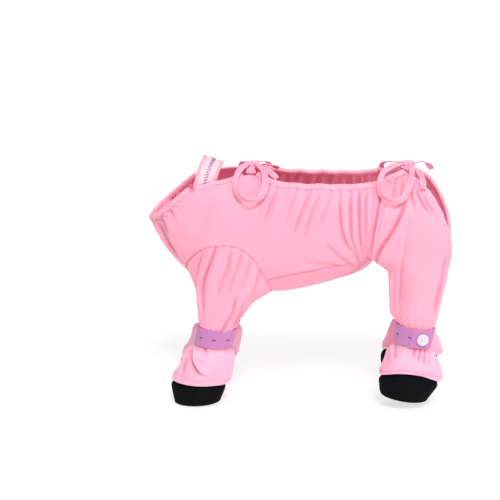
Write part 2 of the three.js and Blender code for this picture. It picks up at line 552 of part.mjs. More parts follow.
/** Four-hole button lying on the cuff lap. */
function button(leg, turn) {
  const ring = (x, y, radius, count) => Array.from({ length: count }, (_, i) => new THREE.Vector2(
    x + radius * Math.cos((2 * Math.PI * i) / count), y + radius * Math.sin((2 * Math.PI * i) / count)));
  const shape = new THREE.Shape(ring(0, 0, BUTTON_DIAMETER / 2, 16));
  for (const [a, b] of [[1, 1], [-1, 1], [-1, -1], [1, -1]]) {
    shape.holes.push(new THREE.Path(ring(a * 1.7, b * 1.7, 0.85, 4)));
  }
  const disc = new THREE.ExtrudeGeometry(shape, { depth: BUTTON_THICKNESS, bevelEnabled: false });
  const { centre, drop } = cuffPlace(leg, turn, 2 * (ELASTIC + GAP) + 0.55);
  const along = cuffPlace(leg, turn + 0.05, 0).centre.sub(cuffPlace(leg, turn - 0.05, 0).centre).normalize();
  const up = drop.normalize();
  const out = up.clone().cross(along).normalize();
  if (out.dot(centre.clone().sub(cuffPlace(leg, turn + Math.PI, 0).centre)) < 0) out.negate();
  disc.applyMatrix4(new THREE.Matrix4().makeBasis(up.clone().cross(out), up, out).setPosition(centre));
  return disc;
}
addPair("front_button", button(FRONT, BUTTONS.front), BUTTON_WHITE);
addPair("hind_button", button(HIND, BUTTONS.hind), BUTTON_WHITE);

/** Boot: a cup whose wall turns in to a flat sole. */
function boot(rings) {
  const last = rings.length - 1;
  const middle = ringPoint(rings, last, 0).add(ringPoint(rings, last, Math.PI)).multiplyScalar(0.5);
  const rows = grid(last, 12, (down, along) => ringPoint(rings, down * last, 2 * Math.PI * along));
  return wall([[...rows].reverse(), [rows[last], rows[last].map(() => middle)].reverse()], RUBBER);
}
addPair("front_boot", boot(FRONT_BOOT), RUBBER_BLACK);
addPair("hind_boot", boot(HIND_BOOT), RUBBER_BLACK);

// Ties: straps from the back edge to a knot, a loop and a tail on each side.
function tie(table, steps) {
  return sweep(
    stationsAlong(curve(table, steps), (share, centre) => point(0, centre.y / 40, 0.6)),
    () => oval(TIE_WIDTH, TIE_THICKNESS, 6));
}
function knot(place) {
  const ball = new THREE.SphereGeometry(1, 10, 7).toNonIndexed();
  ball.scale(KNOT.long, KNOT.wide, KNOT.high);
  ball.translate(place.x * SPAN, place.y * SPAN, place.z * SPAN);
  return ball;
}
add("front_knot", knot(FRONT_KNOT), JERSEY);
addPair("front_tie_strap", tie(FRONT_STRAP, 5), JERSEY);
addPair("front_loop", tie(FRONT_LOOP, 13), JERSEY);
add("front_tail_left", tie(FRONT_TAIL_LEFT, 6), JERSEY);
add("front_tail_right", tie(FRONT_TAIL_RIGHT, 6), JERSEY);
add("rear_knot", knot(REAR_KNOT), JERSEY);
addPair("rear_tie_strap", tie(REAR_STRAP, 5), JERSEY);
addPair("rear_loop", tie(REAR_LOOP, 13), JERSEY);
add("rear_tail_left", tie(REAR_TAIL_LEFT, 6), JERSEY);
add("rear_tail_right", tie(REAR_TAIL_RIGHT, 6), JERSEY);

export default group;
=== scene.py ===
"""Stretch jersey cover for a dog's body and legs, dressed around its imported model.

Metres, with +Z up, +X toward the tail and -Y toward the left side. Tables hold shares of SPAN. Every cloth
piece is a surface worked out from two parameters on a grid, raised along its normals by gathers and creases.
"""

import logging
import math
from collections.abc import Callable
from dataclasses import dataclass
from enum import Enum
from functools import cache

import bpy
import numpy as np
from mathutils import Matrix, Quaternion, Vector


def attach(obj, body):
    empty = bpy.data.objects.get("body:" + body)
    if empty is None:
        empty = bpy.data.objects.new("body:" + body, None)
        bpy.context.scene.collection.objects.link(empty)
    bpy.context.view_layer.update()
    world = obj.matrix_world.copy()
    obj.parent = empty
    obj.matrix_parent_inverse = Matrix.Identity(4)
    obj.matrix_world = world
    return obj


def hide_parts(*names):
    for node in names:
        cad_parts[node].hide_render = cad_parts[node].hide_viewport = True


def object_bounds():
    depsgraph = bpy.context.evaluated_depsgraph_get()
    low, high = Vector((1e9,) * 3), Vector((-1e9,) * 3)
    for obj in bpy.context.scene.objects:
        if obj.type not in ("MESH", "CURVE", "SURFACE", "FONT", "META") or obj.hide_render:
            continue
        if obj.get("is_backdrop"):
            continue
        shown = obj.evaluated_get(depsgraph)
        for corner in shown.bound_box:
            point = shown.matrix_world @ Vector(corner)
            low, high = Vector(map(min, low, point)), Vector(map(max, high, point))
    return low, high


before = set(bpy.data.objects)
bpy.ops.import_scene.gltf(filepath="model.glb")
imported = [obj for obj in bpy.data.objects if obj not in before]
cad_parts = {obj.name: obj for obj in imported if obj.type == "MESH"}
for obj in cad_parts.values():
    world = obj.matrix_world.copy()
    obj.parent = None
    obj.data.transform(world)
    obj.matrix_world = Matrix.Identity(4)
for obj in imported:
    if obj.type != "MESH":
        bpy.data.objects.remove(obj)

Array = np.ndarray
LOG = logging.getLogger("dog_leg_cover")
BODY = "root"
SPAN = 0.1          # distance between the left and right foot axes
MM = 0.001
SQUARE = 2.3        # roundness of a body section: 2 is an ellipse, larger is boxier
SIDE_ANGLE = 2.39   # usual angle from the belly line to the back edge, radians
FABRIC = 0.0012     # jersey wall
DEEPEST = 2.2 * MM  # depth of a valley that takes the whole of its painted shade
HEM_ROWS = 0.72     # rows of the ring table between a sleeve's hem and its stitches
TURN = 2 * math.pi


class Side(Enum):
    """Half of the cover, by the sign of its Y."""

    LEFT = -1
    RIGHT = 1

    @property
    def label(self) -> str:
        """Ending of a node's name on this side."""
        return self.name.lower()


class Slot(Enum):
    """Material slot of a finish."""

    JERSEY = "jersey"
    CASING = "casing"
    TIE = "tie"
    NECK = "neck_elastic"
    CUFF = "cuff_elastic"
    BUTTON = "button"
    BOOT = "boot_rubber"


@dataclass(frozen=True)
class Sections:
    """Short table with named columns, blended smoothly between its rows."""

    columns: tuple[str, ...]
    rows: tuple[tuple[float, ...], ...]

    @property
    def last(self) -> int:
        """Number of the last row."""
        return len(self.rows) - 1

    def at(self, place: Array) -> dict[str, Array]:
        """Values of every column at fractional rows: a cubic through the four rows around each place.

        Args:
            place: Row numbers, of any shape.
        Returns:
            One array for each column, of the shape of place.
        """
        table = np.array(self.rows)
        place = np.asarray(place, float)
        row = np.clip(np.floor(place), 0, self.last - 1).astype(int)
        f = (place - row)[..., None]
        a, b, c, d = (table[np.clip(row + k, 0, self.last)] for k in (-1, 0, 1, 2))
        value = b + 0.5 * f * (c - a + f * (2 * a - 5 * b + 4 * c - d + f * (3 * (b - c) + d - a)))
        return dict(zip(self.columns, np.moveaxis(value, -1, 0)))

    def line(self, steps: int) -> Array:
        """Evenly numbered points on the smooth curve through the rows, in metres."""
        row = np.linspace(0, self.last, steps + 1)
        return SPAN * np.stack(list(self.at(row).values()), axis=-1)


STATION_COLUMNS = ("bellyX", "bellyZ", "edgeX", "edgeZ", "wide", "open")
STATIONS = Sections(STATION_COLUMNS, (
    (-1.8, -0.58, -1.28, -0.14, 0.43, 0.4),
    (-1.68, -0.84, -1.21, -0.135, 0.47, 0.4),
    (-1.54, -1.04, -1.13, -0.12, 0.5, 0.395),
    (-1.37, -1.2, -1.03, -0.09, 0.53, 0.385),
    (-1.14, -1.34, -0.86, -0.06, 0.56, 0.35),
    (-0.8, -1.43, -0.6, 0, 0.58, 0.17),
    (-0.45, -1.45, -0.38, -0.065, 0.585, 0.34),
    (-0.12, -1.43, -0.12, -0.115, 0.58, 0.385),
    (0.2, -1.35, 0.22, -0.13, 0.57, 0.39),
    (0.5, -1.23, 0.57, -0.125, 0.555, 0.385),
    (0.78, -1.13, 0.9, -0.085, 0.54, 0.375),
))
BELLY_END = 8.95      # station where the belly line stops at the cut-out
CUTOUT_ROUND = 0.41   # share of the way round where the belly cut-out meets the hind seam
TIE_STATION = 5.25    # station of the front tie, where the back casing begins
BELLY_SEAM = Sections(("station", "round"), (
    (6.24, 0.36),
    (6.52, 0.386),
    (7.26, 0.411),
    (8.15, 0.406),
    (8.79, 0.386),
    (9.27, 0.389),
))

RING_COLUMNS = ("frontX", "frontZ", "rearX", "rearZ", "axisY", "outer", "inner")
FRONT_RINGS = Sections(RING_COLUMNS, (
    (-1.35, -1.02, -0.39, -1.26, -0.32, 0.26, 0.18),
    (-1.3, -1.13, -0.435, -1.33, -0.37, 0.25, 0.2),
    (-1.25, -1.31, -0.54, -1.45, -0.42, 0.22, 0.21),
    (-1.236, -1.5, -0.64, -1.58, -0.46, 0.2, 0.2),
    (-1.225, -1.65, -0.727, -1.69, -0.48, 0.185, 0.185),
    (-1.2, -1.77, -0.77, -1.8, -0.5, 0.17, 0.17),
    (-1.25, -1.99, -0.83, -2.02, -0.5, 0.165, 0.165),
    (-1.38, -2.08, -0.795, -2.11, -0.5, 0.21, 0.21),
    (-1.41, -2.2, -0.8, -2.24, -0.5, 0.235, 0.235),
    (-1.475, -2.32, -0.815, -2.37, -0.5, 0.25, 0.25),
    (-1.54, -2.43, -0.87, -2.465, -0.5, 0.255, 0.255),
))
HIND_RINGS = Sections(RING_COLUMNS, (
    (0.9, -0.085, 1.22, 0.035, -0.16, 0.1, 0),
    (0.89, -0.25, 1.44, -0.11, -0.42, 0.05, 0),
    (0.88, -0.42, 1.59, -0.31, -0.5, 0.08, 0),
    (0.86, -0.6, 1.69, -0.54, -0.52, 0.1, 0),
    (0.83, -0.76, 1.735, -0.72, -0.5, 0.13, 0),
    (0.81, -0.9, 1.745, -0.87, -0.46, 0.17, 0.04),
    (0.92, -0.99, 1.735, -0.95, -0.43, 0.2, 0.1),
    (1.015, -1.07, 1.72, -1.05, -0.42, 0.22, 0.16),
    (1.045, -1.2, 1.7, -1.22, -0.44, 0.215, 0.19),
    (1.06, -1.42, 1.655, -1.45, -0.47, 0.195, 0.185),
    (1.08, -1.58, 1.62, -1.62, -0.49, 0.18, 0.175),
    (1.145, -1.7, 1.575, -1.75, -0.5, 0.165, 0.165),
    (1.13, -1.92, 1.525, -1.98, -0.5, 0.16, 0.16),
    (1.045, -2.02, 1.58, -2.08, -0.5, 0.2, 0.2),
    (0.995, -2.15, 1.64, -2.2, -0.5, 0.23, 0.23),
    (0.945, -2.27, 1.675, -2.33, -0.5, 0.25, 0.25),
    (0.94, -2.33, 1.66, -2.41, -0.5, 0.25, 0.25),
))
FRONT_BOOT = Sections(RING_COLUMNS, (
    (-1.455, -2.36, -0.865, -2.39, -0.5, 0.22, 0.22),
    (-1.5, -2.445, -0.905, -2.47, -0.5, 0.228, 0.228),
    (-1.548, -2.5, -0.9, -2.52, -0.5, 0.245, 0.245),
    (-1.543, -2.58, -0.925, -2.59, -0.5, 0.245, 0.245),
    (-1.528, -2.66, -0.95, -2.65, -0.5, 0.24, 0.24),
    (-1.52, -2.708, -0.965, -2.69, -0.5, 0.235, 0.235),
    (-1.508, -2.72, -0.98, -2.702, -0.5, 0.222, 0.222),
))
HIND_BOOT = Sections(RING_COLUMNS, (
    (0.995, -2.26, 1.625, -2.33, -0.5, 0.215, 0.215),
    (0.975, -2.345, 1.625, -2.425, -0.5, 0.226, 0.226),
    (0.935, -2.4, 1.625, -2.475, -0.5, 0.245, 0.245),
    (0.935, -2.475, 1.578, -2.54, -0.5, 0.24, 0.24),
    (0.94, -2.53, 1.535, -2.6, -0.5, 0.229, 0.229),
    (0.948, -2.565, 1.502, -2.648, -0.5, 0.216, 0.216),
    (0.97, -2.58, 1.475, -2.66, -0.5, 0.194, 0.194),
))

STATION_LENGTH = 0.33   # usual distance from station to station
ROUND_LENGTH = 1.3      # usual length of the whole way round
FOLD_COLUMNS = ("station", "round", "toStation", "toRound", "width", "height")
FOLDS = (
    (7.2, 0.97, 6.1, 0.72, 0.09, 0.022),
    (8.0, 0.97, 6.9, 0.64, 0.1, 0.024),
    (8.7, 0.96, 7.7, 0.62, 0.1, 0.02),
    (9.2, 0.3, 9.3, 0.66, 0.08, 0.022),
    (9.7, 0.42, 9.8, 0.74, 0.07, 0.02),
    (0.2, 0.35, 2.2, 0.22, 0.09, -0.024),
)


def ease(value: Array) -> Array:
    """Smooth step: three squares less two cubes of the value kept between 0 and 1."""
    value = np.clip(value, 0, 1)
    return value * value * (3 - 2 * value)


def bell(value: Array) -> Array:
    """Bell curve: e to the power of minus the square."""
    return np.exp(-np.square(value))


def signed_power(value: Array, power: float) -> Array:
    """Power of the size of a value, with the value's sign."""
    return np.sign(value) * np.abs(value) ** power


def gather(phase: Array) -> Array:
    """Round ridges with sharp valleys at whole phases: twice a half wave to the power 0.75, less one."""
    return 2 * np.abs(np.sin(math.pi * phase)) ** 0.75 - 1


def unit(vectors: Array) -> Array:
    """Vectors divided by their lengths."""
    return vectors / np.maximum(np.linalg.norm(vectors, axis=-1, keepdims=True), 1e-12)


def wander(x: Array, y: Array, seed: int, waves: int = 6) -> Array:
    """Soft unevenness between about -1 and 1: mean of sine waves of seeded heading, pitch and start.

    Args:
        x: First coordinate, in waves' radians.
        y: Second coordinate.
        seed: Seed of the headings.
        waves: Number of waves.
    Returns:
        Array of the shape of x and y.
    """
    rng = np.random.default_rng(seed)
    total = np.zeros(np.broadcast(x, y).shape)
    for heading, pitch, start in rng.uniform((0, 0.6, 0), (TURN, 1.7, TURN), (waves, 3)):
        total = total + np.sin(pitch * (x * math.cos(heading) + y * math.sin(heading)) + start)
    return total / math.sqrt(waves)


def spread(rows: int, columns: int) -> tuple[Array, Array]:
    """Two grids of shares from 0 to 1, down the rows and along the columns."""
    down, along = np.meshgrid(np.linspace(0, 1, rows + 1), np.linspace(0, 1, columns + 1), indexing="ij")
    return down, along


def sampled(table: Array, known: Array, wanted: Array) -> Array:
    """Rows of a table of points at the wanted distances along it.

    Args:
        table: Points or directions, one row each.
        known: Distance along the line at each row.
        wanted: Distances to read at.
    Returns:
        One row for each wanted distance.
    """
    return np.stack([np.interp(wanted, known, table[:, k]) for k in range(3)], axis=-1)


def walked(line: Array) -> Array:
    """Distance along a line at each of its points, in metres."""
    return np.concatenate([[0], np.cumsum(np.linalg.norm(np.diff(line, axis=0), axis=1))])


def grid_quads(rows: int, columns: int) -> Array:
    """Four-cornered faces between the points of a grid, as numbers of its points.

    Args:
        rows: Rows of points.
        columns: Columns of points.
    Returns:
        One row of four numbers for each face.
    """
    index = np.arange(rows * columns).reshape(rows, columns)
    corners = (index[:-1, :-1], index[:-1, 1:], index[1:, 1:], index[1:, :-1])
    return np.stack(corners, axis=-1).reshape(-1, 4)


def merging(points: Array, step: float) -> tuple[Array, Array]:
    """Merges points that round to the same multiples of a step.

    Args:
        points: Points in metres.
        step: Step in metres.
    Returns:
        Numbers of the points that stay, and the new number of every point.
    """
    keys = np.round(points / step).astype(np.int64)
    _, first, same = np.unique(keys, axis=0, return_index=True, return_inverse=True)
    return first, same.reshape(-1)


@dataclass
class Patch:
    """Grid of points with the values that its relief and its pattern need at every point."""

    points: Array
    values: dict[str, Array]
    flipped: bool = False

    def lengths(self) -> Array:
        """Flat coordinates in metres: mean distance along the columns and down the rows.

        Returns:
            Two numbers for each point of the grid.
        """
        across = np.linalg.norm(np.diff(self.points, axis=1), axis=-1).mean(axis=0)
        down = np.linalg.norm(np.diff(self.points, axis=0), axis=-1).mean(axis=1)
        u = np.concatenate([[0], np.cumsum(across)])
        v = np.concatenate([[0], np.cumsum(down)])
        return np.stack(np.broadcast_arrays(u[None, :], v[:, None]), axis=-1)


@dataclass
class Skin:
    """Welded surface: points, four-cornered faces, the corners' flat coordinates and the points' values."""

    points: Array
    quads: Array
    uv: Array
    values: dict[str, Array]
    hollow: Array | None = None

    @staticmethod
    def welded(patches: list[Patch]) -> "Skin":
        """Joins patches at the points that they share, and turns the faces outward.

        Args:
            patches: Grids whose neighbours repeat each other's edge points.
        Returns:
            One surface.
        """
        points, quads, uv, values, start = [], [], [], [], 0
        for patch in patches:
            rows, columns = patch.points.shape[:2]
            quad = start + grid_quads(rows, columns)
            quads.append(quad[:, ::-1] if patch.flipped else quad)
            points.append(patch.points.reshape(-1, 3))
            uv.append(patch.lengths().reshape(-1, 2))
            values.append({name: np.ravel(value) for name, value in patch.values.items()})
            start += rows * columns
        every, corner = np.concatenate(points), np.concatenate(quads)
        first, same = merging(every, 2e-3 * MM)
        merged = {name: np.concatenate([v[name] for v in values])[first] for name in values[0]}
        skin = Skin(every[first], same[corner], np.concatenate(uv)[corner], merged)
        middle = skin.points.mean(axis=0)
        if np.sum(skin.normals() * (skin.points - middle)) < 0:
            skin.turn_over()
        return skin

    def turn_over(self) -> None:
        """Reverses every face."""
        self.quads, self.uv = self.quads[:, ::-1], self.uv[:, ::-1]

    def turn_outward(self) -> None:
        """Reverses the faces of a closed surface where the volume under their halves is below zero."""
        a, b, c, d = (self.points[self.quads[:, k]] for k in range(4))
        if np.sum(a * np.cross(b, c)) + np.sum(a * np.cross(c, d)) < 0:
            self.turn_over()

    def normals(self) -> Array:
        """Unit normals: sum of the neighbouring faces' crossed diagonals.

        Returns:
            One normal for each point.
        """
        a, b, c, d = (self.points[self.quads[:, k]] for k in range(4))
        face = np.cross(c - a, d - b)
        corners, count = self.quads.ravel(), len(self.points)
        total = [np.bincount(corners, np.repeat(face[:, k], 4), count) for k in range(3)]
        return unit(np.stack(total, axis=-1))

    def area(self) -> float:
        """Area in square metres: half the lengths of the faces' crossed diagonals."""
        a, b, c, d = (self.points[self.quads[:, k]] for k in range(4))
        return float(np.linalg.norm(np.cross(c - a, d - b), axis=1).sum() / 2)

    def raised(self, relief: Array) -> "Skin":
        """Moves every point along its normal by its relief, and keeps how deep each valley is, for the
        painted shade in valleys.

        Args:
            relief: Height of each point in metres.
        Returns:
            The same surface, changed.
        """
        self.points = self.points + self.normals() * relief[:, None]
        self.hollow = np.clip(-relief / DEEPEST, 0, 1)
        return self

    def built(self, name: str, thickness: float = 0.0) -> bpy.types.Object:
        """Blender object of the surface, with a wall on its inner side where a thickness is given.

        Args:
            name: Name of the object.
            thickness: Wall in metres, or 0 for a surface that is closed already.
        Returns:
            The object, at the origin.
        """
        whole = np.ones(self.quads.shape, bool)
        for k in range(4):
            whole[:, k] = self.quads[:, k] != self.quads[:, (k + 1) % 4]
        full, three = whole.all(axis=1), whole.sum(axis=1) == 3
        triangles = self.quads[three][whole[three]].reshape(-1, 3)
        mesh = bpy.data.meshes.new(name)
        mesh.from_pydata(self.points.tolist(), [], self.quads[full].tolist() + triangles.tolist())
        uv = np.concatenate([self.uv[full].reshape(-1, 2), self.uv[three][whole[three]].reshape(-1, 2)])
        mesh.uv_layers.new(name="UVMap").data.foreach_set("uv", uv.ravel())
        # hollow carries painted shade in valleys, buttonholes and button holes, and the neck strap's real
        # pinker edge stripes; pale carries painted light on the sleeves' flares
        for mark, value in {"hollow": self.hollow, "pale": self.values.get("pale")}.items():
            if value is not None:
                mesh.attributes.new(mark, "FLOAT", "POINT").data.foreach_set("value", value)
        mesh.polygons.foreach_set("use_smooth", np.ones(len(mesh.polygons), bool))
        mesh.update()
        piece = bpy.data.objects.new(name, mesh)
        bpy.context.scene.collection.objects.link(piece)
        if thickness:
            wall = piece.modifiers.new("wall", "SOLIDIFY")
            wall.thickness, wall.offset, wall.use_rim = thickness, -1, True
        return piece


def thread_section(place: Array, angle: Array) -> tuple[Array, Array]:
    """Flattened round of a sewing thread."""
    return 0.00038 * np.cos(angle), 0.0003 * np.sin(angle)


def swept(name: str, path: Array, up: Array, section: Callable[[Array, Array], tuple[Array, Array]],
          around: int, hollow: Callable[[Array, Array], Array] | None = None) -> bpy.types.Object:
    """Closed solid of a section carried along a path; its ends close on the path.

    A point is the path's point, plus the section's first number times the side direction, plus the second
    times the up direction.

    Args:
        name: Name of the object.
        path: Points of the path, in metres.
        up: Up direction at each point.
        section: Gives both numbers from the share along the path and the angle round it.
        around: Number of points round the section.
        hollow: Gives how deep each place lies, for painted shade in hollows; on the neck strap, the share of
            its pinker edge stripes.
    Returns:
        The object.
    """
    along = unit(np.gradient(path, axis=0))
    side = unit(np.cross(along, up))
    up = np.cross(side, along)
    share, angle = spread(len(path) - 1, around)
    angle = angle * TURN
    a, b = section(share, angle)
    b = np.broadcast_to(b, share.shape)
    points = path[:, None] + side[:, None] * a[..., None] + up[:, None] * b[..., None]
    points[:, -1] = points[:, 0]
    caps = [np.repeat(points[k].mean(axis=0)[None, None], around + 1, axis=1) for k in (0, -1)]
    share = np.concatenate([share[:1], share, share[-1:]])
    angle = np.concatenate([angle[:1], angle, angle[-1:]])
    patch = Patch(np.concatenate([caps[0], points, caps[1]]), {"share": share, "angle": angle})
    skin = Skin.welded([patch])
    skin.turn_outward()
    if hollow is not None:
        skin.hollow = np.clip(hollow(skin.values["share"], skin.values["angle"]), 0, 1)
    return skin.built(name)


def finish_piece(piece: bpy.types.Object, finish: "Finish", *nodes: str) -> None:
    """Gives a piece its material and body, hides the nodes that it stands for, and reports it.

    Args:
        piece: The object.
        finish: Its finish.
        nodes: Names of the nodes that it replaces.
    """
    piece.data.materials.clear()
    piece.data.materials.append(finish.material())
    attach(piece, BODY)
    if nodes:
        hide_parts(*nodes)
    LOG.info("%s: %d points, stands for %s", piece.name, len(piece.data.vertices), ", ".join(nodes) or "trim")


class Graph:
    """Short calls that add linked nodes to a node tree."""

    def __init__(self, tree: bpy.types.NodeTree) -> None:
        """Keeps the tree."""
        self.tree = tree

    def add(self, kind: str, inputs: dict | None = None, **settings: object) -> bpy.types.Node:
        """Adds a node.

        Args:
            kind: Blender's type name.
            inputs: Sockets or values for the named or numbered inputs.
            settings: Values of the node's own properties.
        Returns:
            The node.
        """
        node = self.tree.nodes.new(kind)
        for key, value in settings.items():
            setattr(node, key, value)
        for key, value in (inputs or {}).items():
            self.feed(node.inputs[key], value)
        return node

    def feed(self, socket: bpy.types.NodeSocket, value: object) -> None:
        """Links a socket to an input, or sets the input's own value.

        Args:
            socket: The input.
            value: A socket, or a number or colour.
        """
        if isinstance(value, bpy.types.NodeSocket):
            self.tree.links.new(value, socket)
        else:
            socket.default_value = value

    def mark(self, name: str) -> bpy.types.NodeSocket:
        """Value of one of the mesh's point attributes."""
        return self.add("ShaderNodeAttribute", None, attribute_name=name).outputs["Fac"]

    def place(self, kind: str) -> bpy.types.NodeSocket:
        """Texture coordinates of a kind, UV or Object."""
        return self.add("ShaderNodeTexCoord").outputs[kind]

    def bump(self, height: object, strength: float, distance: float) -> bpy.types.NodeSocket:
        """Normal of a bumped surface."""
        inputs = {"Height": height, "Strength": strength, "Distance": distance}
        return self.add("ShaderNodeBump", inputs).outputs["Normal"]

    def math(self, operation: str, *values: object) -> bpy.types.NodeSocket:
        """Result of a Math node on values or sockets."""
        return self.add("ShaderNodeMath", dict(enumerate(values)), operation=operation).outputs[0]

    def mix(self, share: object, first: object, second: object) -> bpy.types.NodeSocket:
        """Colour between two colours.

        Args:
            share: How much of the second colour.
            first: First colour or its socket.
            second: Second colour or its socket.
        Returns:
            The mixed colour.
        """
        node = self.add("ShaderNodeMix", None, data_type="RGBA")
        for key, value in {"Factor": share, "A": first, "B": second}.items():
            self.feed([s for s in node.inputs if s.name == key and s.enabled][0], value)
        return [s for s in node.outputs if s.enabled][0]

    def group(self, tree: bpy.types.NodeTree, inputs: dict) -> bpy.types.Node:
        """Adds a group with its own values."""
        return self.add("ShaderNodeGroup", inputs, node_tree=tree)


def new_group(name: str, inputs: dict[str, str],
              outputs: dict[str, str]) -> tuple[bpy.types.NodeTree, Graph, dict, dict]:
    """Empty shader group.

    Args:
        name: Name of the group.
        inputs: Kinds of its inputs by name, such as Float, Vector or Color.
        outputs: Kinds of its outputs by name.
    Returns:
        The tree, its graph, its input sockets and its output sockets.
    """
    tree = bpy.data.node_groups.new(name, "ShaderNodeTree")
    for way, kinds in (("INPUT", inputs), ("OUTPUT", outputs)):
        for label, kind in kinds.items():
            tree.interface.new_socket(label, in_out=way, socket_type=f"NodeSocket{kind}")
    graph = Graph(tree)
    source, sink = graph.add("NodeGroupInput"), graph.add("NodeGroupOutput")
    return tree, graph, source.outputs, sink.inputs


@cache
def knit_group() -> bpy.types.NodeTree:
    """Jersey knit: wales are half waves along U, broken into loops by waves along V.

    Returns:
        The group, made on the first call.
    """
    inputs = {"Vector": "Vector", "Wale": "Float", "Course": "Float"}
    tree, g, source, sink = new_group("jersey_knit", inputs, {"Height": "Float"})
    place = g.add("ShaderNodeSeparateXYZ", {0: source["Vector"]}).outputs
    across = g.math("MULTIPLY", g.math("DIVIDE", place["X"], source["Wale"]), math.pi)
    down = g.math("MULTIPLY", g.math("DIVIDE", place["Y"], source["Course"]), TURN)
    wale = g.math("ABSOLUTE", g.math("SINE", across))
    loop = g.math("MULTIPLY_ADD", g.math("SINE", g.math("ADD", down, wale)), 0.3, 0.7)
    tree.links.new(g.math("MULTIPLY", wale, loop), sink["Height"])
    return tree


@cache
def twill_group() -> bpy.types.NodeTree:
    """Woven elastic: slanted cords are waves along U plus V, crossed by the rubber's lengthwise ribs.

    Returns:
        The group, made on the first call.
    """
    inputs = {"Vector": "Vector", "Pitch": "Float", "Slant": "Float", "Rib": "Float"}
    tree, g, source, sink = new_group("elastic_twill", inputs, {"Height": "Float", "Cord": "Float"})
    place = g.add("ShaderNodeSeparateXYZ", {0: source["Vector"]}).outputs
    slanted = g.math("MULTIPLY_ADD", place["Y"], source["Slant"], place["X"])
    cord = g.math("SINE", g.math("MULTIPLY", g.math("DIVIDE", slanted, source["Pitch"]), TURN))
    cord = g.math("MULTIPLY_ADD", cord, 0.5, 0.5)
    rib = g.math("SINE", g.math("MULTIPLY", g.math("DIVIDE", place["X"], source["Rib"]), TURN))
    height = g.math("MULTIPLY_ADD", rib, 0.25, cord)
    tree.links.new(height, sink["Height"])
    tree.links.new(cord, sink["Cord"])
    return tree


@cache
def mottle_group() -> bpy.types.NodeTree:
    """Uneven dye: a colour made lighter and darker by cloudy noise.

    Returns:
        The group, made on the first call.
    """
    inputs = {"Vector": "Vector", "Color": "Color", "Scale": "Float", "Amount": "Float"}
    tree, g, source, sink = new_group("dye_mottle", inputs, {"Color": "Color", "Cloud": "Float"})
    cloud = g.add("ShaderNodeTexNoise", {"Vector": source["Vector"], "Scale": source["Scale"], "Detail": 4.0})
    level = g.math("SUBTRACT", cloud.outputs[0], 0.5)
    value = g.math("MULTIPLY_ADD", level, source["Amount"], 1.0)
    colour = g.add("ShaderNodeHueSaturation", {"Value": value, "Color": source["Color"]})
    tree.links.new(colour.outputs["Color"], sink["Color"])
    tree.links.new(cloud.outputs[0], sink["Cloud"])
    return tree


@dataclass(frozen=True)
class Finish:
    """Surface finish of one kind of piece; a material is made on its first use."""

    name: str
    slot: Slot
    colour: tuple[float, float, float]
    roughness: float

    @cache
    def material(self) -> bpy.types.Material:
        """The finish's material.

        Returns:
            The material, made on the first call.
        """
        material = bpy.data.materials.new(self.name)
        material.use_nodes = True
        graph = Graph(material.node_tree)
        shader = material.node_tree.nodes["Principled BSDF"]
        shader.inputs["Roughness"].default_value = self.roughness
        self.dress(graph, shader)
        return material

    def dress(self, graph: Graph, shader: bpy.types.Node) -> None:
        """Links the pattern to the shader's sockets."""
        raise NotImplementedError

    @property
    def rgba(self) -> tuple[float, float, float, float]:
        """Colour with full cover."""
        return (*self.colour, 1.0)


@dataclass(frozen=True)
class JerseyFinish(Finish):
    """Stretch jersey: fine knit, uneven dye, painted light on the sleeves' flares, painted shade in valleys.
    """

    # painted shade: colour taken in the valleys
    deep: tuple[float, float, float] = (0.5, 0.07, 0.16)
    # painted light: lighter colour of the sleeves' flares below the cuff
    slack: tuple[float, float, float] = (1.0, 0.46, 0.61)
    wale: float = 0.0011
    course: float = 0.0008
    knit: float = 0.00012
    sheen: float = 0.35

    def dress(self, graph: Graph, shader: bpy.types.Node) -> None:
        """Knit on the flat coordinates with painted shade between its loops; painted light on the pale
        attribute, painted shade on the hollow attribute.

        Args:
            graph: Graph of the material.
            shader: Its Principled node.
        """
        dye = graph.group(mottle_group(), {"Vector": graph.place("Object"), "Color": self.rgba,
                                           "Scale": 26.0, "Amount": 0.07})
        # painted shade in valleys, growing with the square of their depth
        valley_shade_share = graph.math("MULTIPLY", graph.math("POWER", graph.mark("hollow"), 2.0), 0.42)
        knit = graph.group(knit_group(), {"Vector": graph.place("UV"), "Wale": self.wale,
                                          "Course": self.course})
        # painted light on the flares, where the pale attribute is set
        dyed_and_flare_lit = graph.mix(graph.mark("pale"), dye.outputs["Color"], (*self.slack, 1.0))
        valley_shaded = graph.mix(valley_shade_share, dyed_and_flare_lit, (*self.deep, 1.0))
        # painted shade between the knit's loops, a little lighter on their tops
        shade = graph.math("MULTIPLY_ADD", knit.outputs["Height"], 0.05, 0.965)
        colour = graph.add("ShaderNodeHueSaturation", {"Value": shade, "Color": valley_shaded})
        graph.feed(shader.inputs["Base Color"], colour.outputs["Color"])
        graph.feed(shader.inputs["Normal"], graph.bump(knit.outputs["Height"], 0.35, self.knit))
        shader.inputs["Sheen Weight"].default_value = self.sheen
        shader.inputs["Sheen Roughness"].default_value = 0.45
        shader.inputs["Sheen Tint"].default_value = (1.0, 0.8, 0.9, 1.0)


